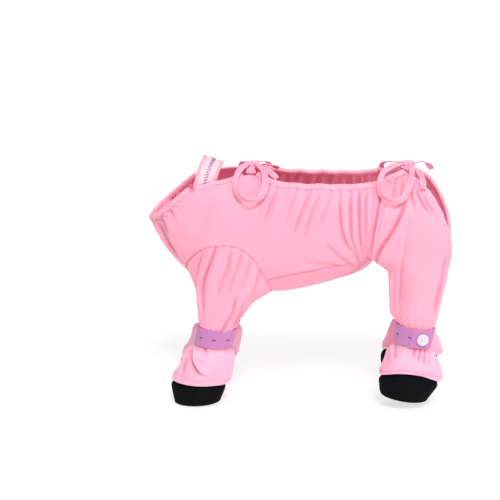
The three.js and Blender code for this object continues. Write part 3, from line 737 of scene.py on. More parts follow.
@dataclass(frozen=True)
class ElasticFinish(Finish):
    """Woven elastic: slanted cords with a painted highlight on their crowns, lengthwise ribs, and a second
    colour on the hollow attribute, for painted shade in buttonholes and for coloured stripes.
    """

    # painted highlight colour on the cords' crowns
    light: tuple[float, float, float] = (1.0, 0.8, 0.9)
    pitch: float = 0.0013
    slant: float = 1.0
    rib: float = 0.0021
    depth: float = 0.0002
    # second colour: painted shade in buttonholes by default; the neck strap gives its pinker stripe colour
    marked: tuple[float, float, float] = (0.03, 0.008, 0.03)

    def dress(self, graph: Graph, shader: bpy.types.Node) -> None:
        """Twill on the flat coordinates with a painted highlight on the cords' crowns, the second colour on
        the hollow attribute.

        Args:
            graph: Graph of the material.
            shader: Its Principled node.
        """
        dye = graph.group(mottle_group(), {"Vector": graph.place("Object"), "Color": self.rgba,
                                           "Scale": 60.0, "Amount": 0.12})
        twill = graph.group(twill_group(), {"Vector": graph.place("UV"), "Pitch": self.pitch,
                                            "Slant": self.slant, "Rib": self.rib})
        # painted highlight on the cords' crowns
        crown_highlight = graph.math("MULTIPLY", twill.outputs["Cord"], 0.6)
        colour = graph.mix(crown_highlight, dye.outputs["Color"], (*self.light, 1.0))
        # second colour: painted shade in the cuff's buttonholes, the pinker edge stripes on the neck strap
        colour = graph.mix(graph.mark("hollow"), colour, (*self.marked, 1.0))
        graph.feed(shader.inputs["Base Color"], colour)
        graph.feed(shader.inputs["Normal"], graph.bump(twill.outputs["Height"], 0.6, self.depth))
        shader.inputs["Sheen Weight"].default_value = 0.2


@dataclass(frozen=True)
class RubberFinish(Finish):
    """Soft black rubber: fine grain, dust that lightens it in clouds and a dull gloss."""

    def dress(self, graph: Graph, shader: bpy.types.Node) -> None:
        """Grain and dust on object coordinates.

        Args:
            graph: Graph of the material.
            shader: Its Principled node.
        """
        solid = graph.place("Object")
        dye = graph.group(mottle_group(), {"Vector": solid, "Color": self.rgba, "Scale": 45.0, "Amount": 0.8})
        grain = graph.add("ShaderNodeTexNoise", {"Vector": solid, "Scale": 1400.0, "Detail": 3.0})
        rough = graph.math("MULTIPLY_ADD", dye.outputs["Cloud"], 0.25, self.roughness - 0.1)
        graph.feed(shader.inputs["Base Color"], dye.outputs["Color"])
        graph.feed(shader.inputs["Roughness"], rough)
        graph.feed(shader.inputs["Normal"], graph.bump(grain.outputs[0], 0.35, 0.0002))
        shader.inputs["Specular IOR Level"].default_value = 0.07


@dataclass(frozen=True)
class PearlFinish(Finish):
    """Pressed pearl plastic: pale swirls under a clear gloss."""

    swirl: tuple[float, float, float] = (0.84, 0.55, 0.7)
    # painted shade colour in the button's holes
    hole: tuple[float, float, float] = (0.25, 0.1, 0.18)

    def dress(self, graph: Graph, shader: bpy.types.Node) -> None:
        """Swirls on object coordinates, painted shade in the holes.

        Args:
            graph: Graph of the material.
            shader: Its Principled node.
        """
        cloud = graph.add("ShaderNodeTexNoise", {"Vector": graph.place("Object"), "Scale": 240.0,
                                                 "Detail": 5.0, "Distortion": 1.5})
        share = graph.math("MULTIPLY", cloud.outputs[0], 0.35)
        colour = graph.mix(share, self.rgba, (*self.swirl, 1.0))
        colour = graph.mix(graph.mark("hollow"), colour, (*self.hole, 1.0))
        graph.feed(shader.inputs["Base Color"], colour)
        shader.inputs["Coat Weight"].default_value = 0.5
        shader.inputs["Coat Roughness"].default_value = 0.12


JERSEY = JerseyFinish("pink_jersey", Slot.JERSEY, (1.0, 0.39, 0.515), 0.62)
CASING = JerseyFinish("pink_casing_jersey", Slot.CASING, (1.0, 0.42, 0.55), 0.62)
TIE = JerseyFinish("pink_tie_jersey", Slot.TIE, (1.0, 0.41, 0.55), 0.58)
THREAD = JerseyFinish("pink_thread", Slot.JERSEY, (0.72, 0.22, 0.36), 0.6)
PALE_THREAD = JerseyFinish("pale_thread", Slot.BUTTON, (0.9, 0.75, 0.84), 0.6)
# painted highlight on the ribs' crowns; the second colour is the strap's pinker edge stripe
NECK = ElasticFinish("pale_pink_elastic", Slot.NECK, (1.0, 0.5, 0.6), 0.6, light=(1.0, 0.68, 0.75),
                     slant=0.0, pitch=0.0016, marked=(1.0, 0.36, 0.42))
GREY_THREAD = JerseyFinish("grey_thread", Slot.NECK, (0.25, 0.26, 0.33), 0.6)
# painted highlight on the cords' crowns; the default second colour is painted shade in the buttonholes
CUFF = ElasticFinish("orchid_elastic", Slot.CUFF, (0.5, 0.17, 0.42), 0.7, light=(0.72, 0.31, 0.62),
                     pitch=0.0034, slant=1.4, depth=0.0004)
PEARL = PearlFinish("pearl_plastic", Slot.BUTTON, (0.86, 0.74, 0.81), 0.25)
RUBBER = RubberFinish("black_boot_rubber", Slot.BOOT, (0.004, 0.004, 0.005), 0.8)


@dataclass(frozen=True)
class Crease:
    """Fold line in side view: a valley of a width and depth in millimetres with a ridge beside it.

    The ridge lies toward the tail where lean is 1, toward the neck where it is -1, and on both sides where it
    is 0. Fading is the share of the path over which the crease dies out at its end.
    """

    path: tuple[tuple[float, float], ...]
    width: float
    depth: float
    lean: float = 1.0
    ridge: float = 0.6
    fading: float = 0.5

    def relief(self, points: Array) -> Array:
        """Height at points, fading at both ends of the path.

        Across the path the cloth dips gently to a narrow valley, then rises steeply into a round roll: the
        distance times e to the power of one less the distance. Without a lean, both ridges are equal.

        Args:
            points: Places in metres; only X and Z count.
        Returns:
            Heights in metres.
        """
        route = Sections(("x", "z"), self.path).line(4 * (len(self.path) - 1))
        start, leg = route[:-1], np.diff(route, axis=0)
        length = np.linalg.norm(leg, axis=1)
        reach = 14 * self.width * MM
        low, high = route.min(axis=0) - reach, route.max(axis=0) + reach
        flat = points[:, ::2]
        close = np.flatnonzero(np.all((flat > low) & (flat < high), axis=1))
        rel = flat[close][:, None] - start[None]
        t = np.clip(np.sum(rel * leg, axis=-1) / length**2, 0, 1)
        away = np.linalg.norm(rel - t[..., None] * leg, axis=-1)
        near = np.argmin(away, axis=1)[:, None]
        cross = leg[:, 0] * rel[..., 1] - leg[:, 1] * rel[..., 0]
        before = np.concatenate([[0], np.cumsum(length)[:-1]])

        def pick(table: Array) -> Array:
            """Value at the nearest leg of the path."""
            return np.take_along_axis(table, near, axis=1)[:, 0]

        share = pick(before + t * length) / length.sum()
        off = pick(away) * np.sign(pick(cross)) / (self.width * MM)
        fade = ease(share / 0.3 + 0.25) * ease((1 - share) / self.fading)
        if self.lean:
            off = off * self.lean
            roll = np.where(off > 0, off * np.exp(1 - off), 0)
            dip = np.where(off > 0, bell(off / 0.7), bell(off / 2.1))
        else:
            roll, dip = bell((np.abs(off) - 1.7) / 1.1), bell(off)
        height = np.zeros(len(points))
        height[close] = self.depth * MM * fade * (self.ridge * roll - dip)
        return height


BODY_CREASES = (
    Crease(((-0.28, -0.1), (-0.37, -0.32), (-0.5, -0.62)), 2.2, 2.2, -1),
    Crease(((-0.14, -0.08), (-0.193, -0.23), (-0.38, -0.62)), 2.0, 1.4, -1),
    Crease(((-0.04, -0.08), (-0.099, -0.258), (-0.24, -0.64)), 1.9, 1.7, -1),
    Crease(((0.1, -0.08), (0.034, -0.28), (-0.15, -0.8)), 2.0, 2.2, -1),
    Crease(((0.22, -0.08), (0.161, -0.28), (-0.03, -0.82)), 2.0, 2.0, -1),
    Crease(((0.36, -0.08), (0.298, -0.279), (0.14, -0.72)), 2.0, 1.6, -1),
    Crease(((0.46, -0.08), (0.49, -0.5), (0.545, -0.72), (0.67, -0.93), (0.74, -1.2)), 1.7, 2.3),
    Crease(((0.59, -0.06), (0.6, -0.4), (0.61, -0.66), (0.68, -0.9), (0.76, -1.2)), 1.6, 2.6),
    Crease(((0.69, -0.06), (0.7, -0.45), (0.722, -0.78), (0.79, -1.2)), 1.6, 2.8),
    Crease(((0.775, -0.06), (0.765, -0.4), (0.775, -0.78), (0.81, -1.2)), 1.6, 2.2),
    Crease(((0.3, -0.7), (0.42, -0.85), (0.56, -0.97), (0.68, -1.1)), 2.0, 1.5, 1, 0.6, 0.2),
    Crease(((0.05, -0.95), (0.25, -0.98), (0.45, -1.02), (0.62, -1.1)), 1.8, 1.2),
)
SEAM_CREASES = (
    Crease(((-0.42, -1.24), (-0.275, -1.18), (-0.036, -1.126), (0.253, -1.07), (0.6, -0.99)),
           1.7, 1.1, 0, 0.9),
    Crease(((-1.75, -0.5), (-1.65, -0.72), (-1.53, -0.92), (-1.4, -1.08)), 2.2, 3.2, -1, 0.5, 0.4),
    Crease(((-1.66, -0.36), (-1.62, -0.52), (-1.54, -0.74)), 2.4, 2.6),
    Crease(((-1.55, -0.3), (-1.5, -0.42), (-1.42, -0.56)), 2.0, 2.0),
)
HIND_CREASES = (
    Crease(((0.937, -0.05), (0.94, -0.199), (0.915, -0.348), (0.858, -0.658), (0.8, -1.1)), 1.5, 3.2, 1, 0.9),
    Crease(((1.235, -0.22), (1.165, -0.42), (1.06, -0.62), (0.95, -0.8), (0.85, -1.08)),
           1.6, 3.6, 1, 0.9, 0.25),
    Crease(((1.0, -0.2), (0.94, -0.45), (0.87, -0.85)), 1.8, 1.8),
    Crease(((1.234, -0.4), (1.211, -0.751), (1.161, -1.142), (1.15, -1.9)), 2.3, 1.8, -1),
    Crease(((1.12, -1.0), (1.08, -1.3), (1.1, -1.7)), 1.9, 1.2, -1),
    Crease(((1.72, -0.86), (1.662, -1.18), (1.57, -1.62)), 1.4, 3.0, 1, 0.7, 0.2),
    Crease(((1.33, -0.08), (1.44, -0.26), (1.585, -0.47)), 1.4, 2.4),
    Crease(((1.42, -0.14), (1.53, -0.32), (1.63, -0.46)), 1.4, 2.2),
    Crease(((1.27, 0.02), (1.3, -0.16), (1.36, -0.4)), 1.8, 1.8),
    Crease(((1.18, 0.02), (1.16, -0.14), (1.12, -0.34)), 1.7, 1.8, -1),
    Crease(((1.1, 0.02), (1.07, -0.12), (1.03, -0.3)), 1.7, 1.5, -1),
    Crease(((1.112, -1.93), (1.105, -2.0), (1.095, -2.14)), 1.7, 2.4, -1),
    Crease(((1.04, -2.0), (1.022, -2.1), (1.0, -2.26)), 1.8, 1.8, -1),
    Crease(((1.39, -1.93), (1.36, -2.0), (1.32, -2.12)), 1.4, 1.8),
    Crease(((1.445, -1.93), (1.42, -2.02), (1.39, -2.16)), 1.4, 2.2),
    Crease(((1.485, -1.94), (1.48, -2.05), (1.47, -2.22)), 1.4, 2.2),
    Crease(((1.51, -1.94), (1.54, -2.08), (1.57, -2.28)), 1.5, 2.2),
)
FRONT_CREASES = (
    Crease(((-0.97, -0.7), (-1.068, -0.958), (-1.13, -1.125), (-1.17, -1.31), (-1.16, -1.517),
            (-1.15, -1.83)), 1.5, 4.0, -1, 0.9),
    Crease(((-1.12, -0.82), (-1.19, -1.028), (-1.225, -1.329), (-1.2, -1.7)), 1.6, 2.6, 1, 0.7),
    Crease(((-0.68, -0.76), (-0.741, -1.002), (-0.85, -1.29), (-0.93, -1.62)), 2.0, 1.9, -1),
    Crease(((-0.8, -0.74), (-0.87, -1.055), (-0.96, -1.29), (-1.0, -1.7)), 2.0, 2.1, -1),
    Crease(((-0.46, -1.0), (-0.544, -1.31), (-0.7, -1.62)), 2.0, 1.9, -1),
    Crease(((-0.58, -0.86), (-0.65, -1.14), (-0.78, -1.5)), 2.2, 1.6, -1),
    Crease(((-0.73, -1.34), (-0.8, -1.6), (-0.95, -1.86)), 1.5, 2.8, 1, 0.6, 0.2),
    Crease(((-0.64, -1.4), (-0.7, -1.6), (-0.79, -1.86)), 1.5, 2.4, 1, 0.6, 0.2),
    Crease(((-1.29, -1.96), (-1.285, -2.095), (-1.259, -2.2), (-1.163, -2.3), (-1.02, -2.35)),
           2.0, 2.8, 1, 0.9),
    Crease(((-1.35, -2.1), (-1.4, -2.25), (-1.43, -2.42)), 1.8, 2.0, -1),
    Crease(((-0.86, -2.0), (-0.86, -2.16), (-0.88, -2.36)), 2.0, 1.2),
    Crease(((-1.12, -1.97), (-1.11, -2.03), (-1.09, -2.09)), 1.5, 2.0),
)


def body_point(station: Array, around: Array) -> Array:
    """Point of the left half of the body.

    A section is a superellipse of the station's half width between the belly line and the open back edge,
    leaned so that its ends meet both lines; broad folds lift it away from its middle.

    Args:
        station: Row of the station table.
        around: Share of the way round, from 0 on the belly line to 1 on the back edge.
    Returns:
        Points in metres.
    """
    station, around = np.broadcast_arrays(np.asarray(station, float), np.asarray(around, float))
    s = STATIONS.at(station)
    end = math.pi - np.arcsin(np.clip(s["open"] / s["wide"], 0, 1) ** (SQUARE / 2))
    angle = around * SIDE_ANGLE + (end - SIDE_ANGLE) * around**4
    level = 1 - signed_power(np.cos(angle), 2 / SQUARE)
    rise = level / (1 - signed_power(np.cos(end), 2 / SQUARE))
    x = s["bellyX"] + (s["edgeX"] - s["bellyX"]) * rise
    y = -s["wide"] * np.clip(np.sin(angle), 0, 1) ** (2 / SQUARE)
    z = s["bellyZ"] + (s["edgeZ"] - s["bellyZ"]) * rise
    middle = (s["bellyZ"] + s["edgeZ"]) / 2
    lift = fold_height(station, around) / np.hypot(y, z - middle)
    return SPAN * np.stack([x, y * (1 + lift), z + (z - middle) * lift], axis=-1)


def fold_height(station: Array, around: Array) -> Array:
    """Height of the broad folds: bells round straight ridges, lower toward their far ends.

    Args:
        station: Row of the station table.
        around: Share of the way round.
    Returns:
        Heights as shares of SPAN.
    """
    height = np.zeros(station.shape)
    for row in FOLDS:
        fold = dict(zip(FOLD_COLUMNS, row))
        along = ((fold["toStation"] - fold["station"]) * STATION_LENGTH,
                 (fold["toRound"] - fold["round"]) * ROUND_LENGTH)
        off = ((station - fold["station"]) * STATION_LENGTH, (around - fold["round"]) * ROUND_LENGTH)
        share = np.clip((off[0] * along[0] + off[1] * along[1]) / (along[0] ** 2 + along[1] ** 2), 0, 1)
        away = np.hypot(off[0] - along[0] * share, off[1] - along[1] * share)
        height = height + fold["height"] * bell(away / fold["width"]) * (1 - 0.6 * share)
    return height


def rear_station(around: Array) -> Array:
    """Station where the body ends: the belly cut-out below, the hind seam above."""
    return BELLY_END + (STATIONS.last - BELLY_END) * ease(np.asarray(around) / CUTOUT_ROUND)


@dataclass(frozen=True)
class Armhole:
    """Oval opening of the front sleeve in station and share-round coordinates."""

    station: float = 4.55
    reach: float = 1.65
    front: float = 0.25
    rear: float = 0.2
    above: float = 0.365
    below: float = 0.13
    station_step: float = 0.031
    girth: float = 0.185
    fuller: float = 0.15
    far: float = 0.012

    def middle(self, share: Array) -> Array:
        """Share round of the oval's middle line."""
        return self.front + (self.rear - self.front) * share

    def bow(self, turn: Array) -> Array:
        """Share by which the upper edge stands out from a plain oval: most in its rear quarter."""
        return 1 + self.fuller * bell((turn - 2.35) / 0.42)

    def place(self, turn: Array, outset: float = 0.0) -> Array:
        """Point on the oval or outside it.

        Args:
            turn: Angle, 0 at the front, a quarter turn at the top.
            outset: Distance outside the oval in metres.
        Returns:
            Points in metres, on the left half.
        """
        upper = np.sin(turn) >= 0
        side = np.where(upper, self.above * self.bow(turn), self.below) + outset / self.girth
        reach = self.reach + outset / self.station_step
        middle = self.middle((1 - np.cos(turn)) / 2)
        return body_point(self.station - reach * np.cos(turn), middle + side * np.sin(turn))

    def distance(self, points: Array) -> Array:
        """Distance from points of either half to the oval, no more than far.

        Args:
            points: Points in metres.
        Returns:
            Distances in metres.
        """
        left = points * (1, 0, 1) - np.abs(points) * (0, 1, 0)
        oval = self.place(np.linspace(0, TURN, 401))
        low, high = oval.min(axis=0) - self.far, oval.max(axis=0) + self.far
        near = np.flatnonzero(np.all((left > low) & (left < high), axis=1))
        found = np.full(len(points), self.far)
        flat = left[near] @ oval.T
        square = np.sum(left[near] ** 2, axis=1)[:, None] + np.sum(oval**2, axis=1) - 2 * flat
        found[near] = np.sqrt(np.maximum(square.min(axis=1), 0))
        return np.minimum(found, self.far)


ARMHOLE = Armhole()


def ring_point(rings: Sections, at: Array, turn: Array, outset: Array = 0.0) -> Array:
    """Point of a sleeve or boot ring: two half ellipses between its front and rear ends.

    Args:
        rings: Table of rings.
        at: Row of the table.
        turn: Angle, 0 at the front, a quarter turn on the outer side.
        outset: Distance outside the ring in metres.
    Returns:
        Points in metres, on the left side.
    """
    at, turn = np.broadcast_arrays(np.asarray(at, float), np.asarray(turn, float))
    r = rings.at(at)
    half_x, half_z = (r["rearX"] - r["frontX"]) / 2, (r["rearZ"] - r["frontZ"]) / 2
    reach = 1 + outset / (SPAN * half_x)
    bulge = np.where(np.sin(turn) > 0, r["outer"], r["inner"]) + outset / SPAN
    x = r["frontX"] + half_x - half_x * reach * np.cos(turn)
    z = r["frontZ"] + half_z - half_z * reach * np.cos(turn)
    return SPAN * np.stack([x, r["axisY"] - bulge * np.sin(turn), z], axis=-1)


@dataclass(frozen=True)
class Leg:
    """Form of one leg: its rings and the row where its cuff begins."""

    rings: Sections
    cuff: int
    arch: float = 0.0
    pleats: int = 5
    pleat_height: float = 0.0013

    def hem_rise(self, at: Array, turn: Array) -> Array:
        """Metres by which the flare's hem arches up at its sides: a squared sine of the angle."""
        start = self.cuff + 1.5
        return self.arch * np.sin(turn) ** 2 * ease((at - start) / (self.rings.last - start))

    def pleat(self, at: Array, turn: Array) -> Array:
        """Broad lengthwise pleats: a wave round the leg, none at the seam and under the cuff.

        Args:
            at: Row of the ring table.
            turn: Angle round the leg.
        Returns:
            Heights in metres.
        """
        above = np.sin(math.pi * np.clip((at - self.cuff + 4.5) / 4.5, 0, 1))
        below = ease((at - self.cuff - 1.2) / 1.5) * ease((self.rings.last - at) / 0.8)
        amount = np.where(at < self.cuff, above, below)
        return self.pleat_height * amount * np.cos(self.pleats * turn + 0.6 * at)

    def cuff_place(self, turn: Array, outset: Array) -> tuple[Array, Array]:
        """Place of the cuff band.

        Args:
            turn: Angle round the leg.
            outset: Distance outside the leg in metres.
        Returns:
            Middle of the band, and the way from its lower to its upper edge.
        """
        top = ring_point(self.rings, self.cuff, turn, outset)
        bottom = ring_point(self.rings, self.cuff + 1, turn, outset)
        return (top + bottom) / 2, top - bottom


FRONT = Leg(FRONT_RINGS, 5)
HIND = Leg(HIND_RINGS, 11, 0.011)
HIND_CORNER = 5
HIND_CROTCH = 7
SLEEVE_FADE = 3.2


def front_sleeve_point(at: Array, turn: Array, tuck: float) -> Array:
    """Point of the left front sleeve: the armhole oval at the top, easing into the plain rings.

    Args:
        at: Row of the ring table.
        turn: Angle round the leg.
        tuck: Metres by which the top reaches under the body.
    Returns:
        Points in metres.
    """
    seam = ARMHOLE.place(turn, tuck) - ring_point(FRONT_RINGS, 0.0, turn)
    share = 1 - ease(at / SLEEVE_FADE)
    return ring_point(FRONT_RINGS, at, turn, FRONT.pleat(at, turn)) + seam * share[..., None]


def hind_sleeve_point(at: Array, turn: Array, gap: float = 0.0008) -> Array:
    """Point of the left hind sleeve: its front column follows the hind seam down to the cut-out's corner.

    Args:
        at: Row of the ring table.
        turn: Angle round the leg.
        gap: Metres between the seam and the body; below 0 it reaches under the body.
    Returns:
        Points in metres.
    """
    at, turn = np.broadcast_arrays(np.asarray(at, float), np.asarray(turn, float))
    down = np.minimum(at, HIND_CORNER)
    seam = body_point(STATIONS.last, 1 - (1 - CUTOUT_ROUND) * down / HIND_CORNER) + (gap, 0, 0)
    seam = seam - ring_point(HIND_RINGS, down, 0.0)
    share = (1 - ease(np.minimum(turn, TURN - turn) / 1.3)) * (1 - ease((at - HIND_CORNER) / 1.5))
    risen = HIND.hem_rise(at, turn)[..., None] * (0, 0, 1)
    return ring_point(HIND_RINGS, at, turn, HIND.pleat(at, turn)) + seam * share[..., None] + risen


def facing(normals: Array, side: Array) -> Array:
    """How far a surface faces its own outer side, from 0 to 1."""
    return ease((normals[:, 1] * side + 0.05) / 0.35)


def creased(creases: tuple[Crease, ...], points: Array) -> Array:
    """Sum of the creases' heights."""
    return sum(crease.relief(points) for crease in creases)


def mirrored(points: Array, side: Side) -> Array:
    """Points of the left half on the wanted side."""
    return points * (1, -side.value, 1)


def declare_cloth(piece: bpy.types.Object, skin: Skin) -> None:
    """Logs the worn area of a piece of jersey.

    Args:
        piece: The piece.
        skin: Its worn surface.
    """
    LOG.info("%s: %.4f square metres worn", piece.name, skin.area())


@dataclass
class BodyCover:
    """Body of the cover: one cloth wall with two armholes, open along the back and under the rear belly."""

    rows_below: int = 28
    rows_above: int = 52
    columns: tuple[int, int, int] = (46, 110, 104)
    edge_gather: float = 0.0009
    seam_allowance: float = 0.0042

    def patches(self) -> list[Patch]:
        """Three bands on each half, each in a lower and an upper part round the armhole.

        Within the middle band the armhole's edge follows half sine waves above and below its middle line.

        Returns:
            The patches of both halves.
        """
        made = []
        for side in Side:
            for number, columns in enumerate(self.columns):
                for upper in (False, True):
                    down, along = spread(self.rows_above if upper else self.rows_below, columns)
                    bow = np.sin(math.pi * along) if number == 1 else np.zeros(along.shape)
                    share = {0: 0.0 * along, 1: (1 - np.cos(math.pi * along)) / 2, 2: 0.0 * along + 1}[number]
                    middle = ARMHOLE.middle(share)
                    above = middle + ARMHOLE.above * bow * ARMHOLE.bow(math.pi * along)
                    below = middle - ARMHOLE.below * bow
                    down = 1 - (1 - down) ** 1.3 if upper else down
                    around = above + (1 - above) * down if upper else below * down
                    front, rear = ARMHOLE.station - ARMHOLE.reach, ARMHOLE.station + ARMHOLE.reach
                    station = (front * along, ARMHOLE.station - ARMHOLE.reach * np.cos(math.pi * along),
                               rear + (rear_station(around) - rear) * along)[number]
                    points = mirrored(body_point(station, around), side)
                    hand = np.full(around.shape, float(side.value))
                    values = {"station": station, "around": around, "side": hand}
                    made.append(Patch(points, values, side is Side.RIGHT))
        return made

    def relief(self, skin: Skin) -> Array:
        """Gathers at the neckline, back and belly edges, creases, seams and soft unevenness.

        Args:
            skin: Surface of the body.
        Returns:
            Heights in metres.
        """
        station, around, side = (skin.values[k] for k in ("station", "around", "side"))
        normals = skin.normals()
        below_edge = (1 - around) * ARMHOLE.girth
        behind_neck = station * 0.0165
        to_cutout = (rear_station(around) - station) * 0.033
        uneven = wander(station * 3.0, around * 6.0, 11)
        back = ease((station - TIE_STATION + 0.1) / 0.5)
        phase = station * 6.2 + 0.35 * uneven + 3.0 * below_edge / 0.05
        height = self.edge_gather * back * gather(phase) * np.exp(-below_edge / 0.007)
        height += 0.0006 * back * gather(phase / 2.3 + 0.4 * side) * np.exp(-below_edge / 0.02)
        neck = around * 25 + 0.5 * uneven + behind_neck / 0.03
        height += 0.0024 * gather(neck) * np.exp(-behind_neck / 0.011) * (0.45 + 0.55 * ease(around / 0.7))
        cut = around * 34 + 0.5 * uneven
        under = ease((CUTOUT_ROUND + 0.06 - around) / 0.1)
        height += 0.0026 * under * gather(cut) * np.exp(-to_cutout / 0.016)
        height += 0.0005 * wander(station * 2.2, around * 9.0 + side, 5) * ease(around / 0.15)
        out = facing(normals, side)
        height += creased(BODY_CREASES + HIND_CREASES[:1], skin.points) * out
        height += creased(SEAM_CREASES, skin.points) * ease(around / 0.06)
        hole = ARMHOLE.distance(skin.points)
        height += 0.0009 * (ease(hole / 0.0015) - ease((hole - self.seam_allowance) / 0.002))
        height -= 0.0005 * bell(hole / 0.0012)
        return height

    def build(self) -> None:
        """Builds the jersey body and the stitch lines round its armholes."""
        skin = Skin.welded(self.patches())
        body = skin.raised(self.relief(skin)).built("body_jersey", FABRIC)
        finish_piece(body, JERSEY, "body_cover")
        declare_cloth(body, skin)
        turn = np.linspace(0, TURN, 1200)
        rows = BELLY_SEAM.at(np.linspace(0, BELLY_SEAM.last, 400))
        station, share = rows["station"], rows["round"] + 0.013
        for side in Side:
            self.stitches("armhole", ARMHOLE.place(turn, 0.0021), ARMHOLE.place(turn, 0.0051), side)
            self.stitches("belly_seam", body_point(station, share), body_point(station, share + 0.02), side)

    def stitches(self, name: str, line: Array, beside: Array, side: Side) -> None:
        """Stitches along a line on the body.

        Args:
            name: Name of the seam.
            line: Points of the line on the left half.
            beside: Points of the cloth next to it, for the outward direction.
            side: Half to sew.
        """
        line, beside = mirrored(line, side), mirrored(beside, side)
        out = unit(np.cross(np.gradient(line, axis=0), beside - line))
        out *= np.sign(np.sum(out * (0, side.value, 0.2), axis=-1, keepdims=True))
        sewn = Stitching(line, out, lift=0.0009, pitch=0.0032, length=0.0021, radius=0.00045)
        finish_piece(sewn.build(f"{name}_stitches_{side.label}"), THREAD)


@dataclass
class Stitching:
    """Row of short raised stitches along a line on cloth."""

    line: Array
    out: Array
    lift: float = 0.0003
    pitch: float = 0.0026
    length: float = 0.0017
    radius: float = 0.00035

    def build(self, name: str) -> bpy.types.Object:
        """Joined mesh of stretched eight-sided beads, one at every pitch along the line.

        Args:
            name: Name of the object.
        Returns:
            The object.
        """
        known = walked(self.line)
        stops = np.arange(self.pitch / 2, known[-1], self.pitch)
        centre = sampled(self.line, known, stops)
        out = unit(sampled(self.out, known, stops))
        along = unit(sampled(np.gradient(self.line, axis=0), known, stops))
        across = np.cross(out, along)
        polar, turn = spread(6, 8)
        long = -np.cos(math.pi * polar) * self.length / 2
        ring = np.sin(math.pi * polar) * self.radius
        grid = (centre + out * self.lift)[:, None, None]
        ways = (along, long), (across, np.cos(TURN * turn) * ring), (out, np.sin(TURN * turn) * ring)
        for way, reach in ways:
            grid = grid + way[:, None, None] * reach[None, ..., None]
        rows, columns = polar.shape
        start = rows * columns * np.arange(len(stops))[:, None, None]
        quads = (grid_quads(rows, columns) + start).reshape(-1, 4)
        points = grid.reshape(-1, 3)
        first, same = merging(points, 1e-3 * MM)
        flat = np.stack([quads % columns, quads // columns], axis=-1) * 1e-4
        return Skin(points[first], same[quads], flat, {}).built(name)


@dataclass
class FrontSleeve:
    """Front sleeve: eased into the armhole, pleated down to the cuff, flared and hemmed below it."""

    side: Side
    rows: int = 100
    columns: int = 180

    def relief(self, skin: Skin, leg: Leg, row_above: float, row_below: float) -> Array:
        """Pleats above the cuff, gathers beside it, waves and a hem on the flare; marks the flare for painted
        light.

        Args:
            skin: Surface of the sleeve.
            leg: Form of the leg.
            row_above: Metres from row to row above the cuff.
            row_below: Metres from row to row below it.
        Returns:
            Heights in metres.
        """
        at, turn = skin.values["at"], skin.values["turn"]
        side = self.side.value
        above = np.maximum(leg.cuff - at, 0) * row_above
        below = np.maximum(at - leg.cuff - 1, 0) * row_below
        hem = (leg.rings.last - at) * row_below
        ring = turn / TURN
        sway = 0.35 * wander(np.cos(turn) * 3, np.sin(turn) * 3 + at * 0.4, 21 + side)
        long = gather(ring * 15 + sway + 0.05 * at) * ease(above / 0.01) * np.exp(-above / 0.05)
        fine = gather(ring * 23 + sway * 2) * np.exp(-above / 0.01) * ease(above / 0.0015)
        flare = gather(ring * 23 + sway * 2 + 0.3) * np.exp(-below / 0.01) * ease(below / 0.0015)
        wave = wander(np.cos(turn) * 4, np.sin(turn) * 4, 31 + side) * ease(below / 0.02)
        height = np.where(at < leg.cuff, 0.0004 * long + 0.0012 * fine, 0.0007 * flare + 0.0006 * wave)
        height += 0.0004 * wander(turn * 2.0, at * 2.2, 41 + side) * ease((above + below) / 0.01)
        # painted light: marks the flare below the cuff to be coloured lighter
        skin.values["pale"] = ease(below / 0.008)
        band = ease((0.0085 - hem) / 0.0008)
        height += 0.0004 * band - 0.0005 * bell((hem - 0.0088) / 0.0007) - 0.0004 * bell(hem / 0.0008)
        return height

    def build(self) -> None:
        """Builds the sleeve and the stitches of its hem."""
        down, along = spread(self.rows, self.columns)
        at, turn = FRONT_RINGS.last * down, TURN * along
        points = front_sleeve_point(at, turn, 0.0022)
        patch = Patch(mirrored(points, self.side), {"at": at, "turn": turn})
        skin = Skin.welded([patch])
        out = facing(skin.normals(), self.side.value)
        height = self.relief(skin, FRONT, 0.0165, 0.0112)
        height += creased(FRONT_CREASES, skin.points) * out
        height = height * ease(skin.values["at"] / 0.25) - 0.0017 * (1 - ease(skin.values["at"] / 0.16))
        self.sew(skin, height, "front", FRONT)

    def sew(self, skin: Skin, height: Array, name: str, leg: Leg) -> None:
        """Makes the piece, logs its cloth's area, and stitches its hem along the nearest row of points.

        Args:
            skin: Surface of the sleeve.
            height: Its relief in metres.
            name: Front or hind.
            leg: Form of the leg.
        """
        label = self.side.label
        piece = skin.raised(height).built(f"{name}_sleeve_jersey_{label}", FABRIC)
        finish_piece(piece, JERSEY, f"{name}_sleeve_{label}")
        declare_cloth(piece, skin)
        off = np.abs(skin.values["at"] - (leg.rings.last - HEM_ROWS))
        ring = np.flatnonzero(off < off.min() + 1e-6)
        ring = ring[np.argsort(skin.values["turn"][ring])]
        ring = np.append(ring, ring[0])
        stitches = Stitching(skin.points[ring], skin.normals()[ring], lift=0.00025, radius=0.0003)
        finish_piece(stitches.build(f"{name}_hem_stitches_{label}"), THREAD)


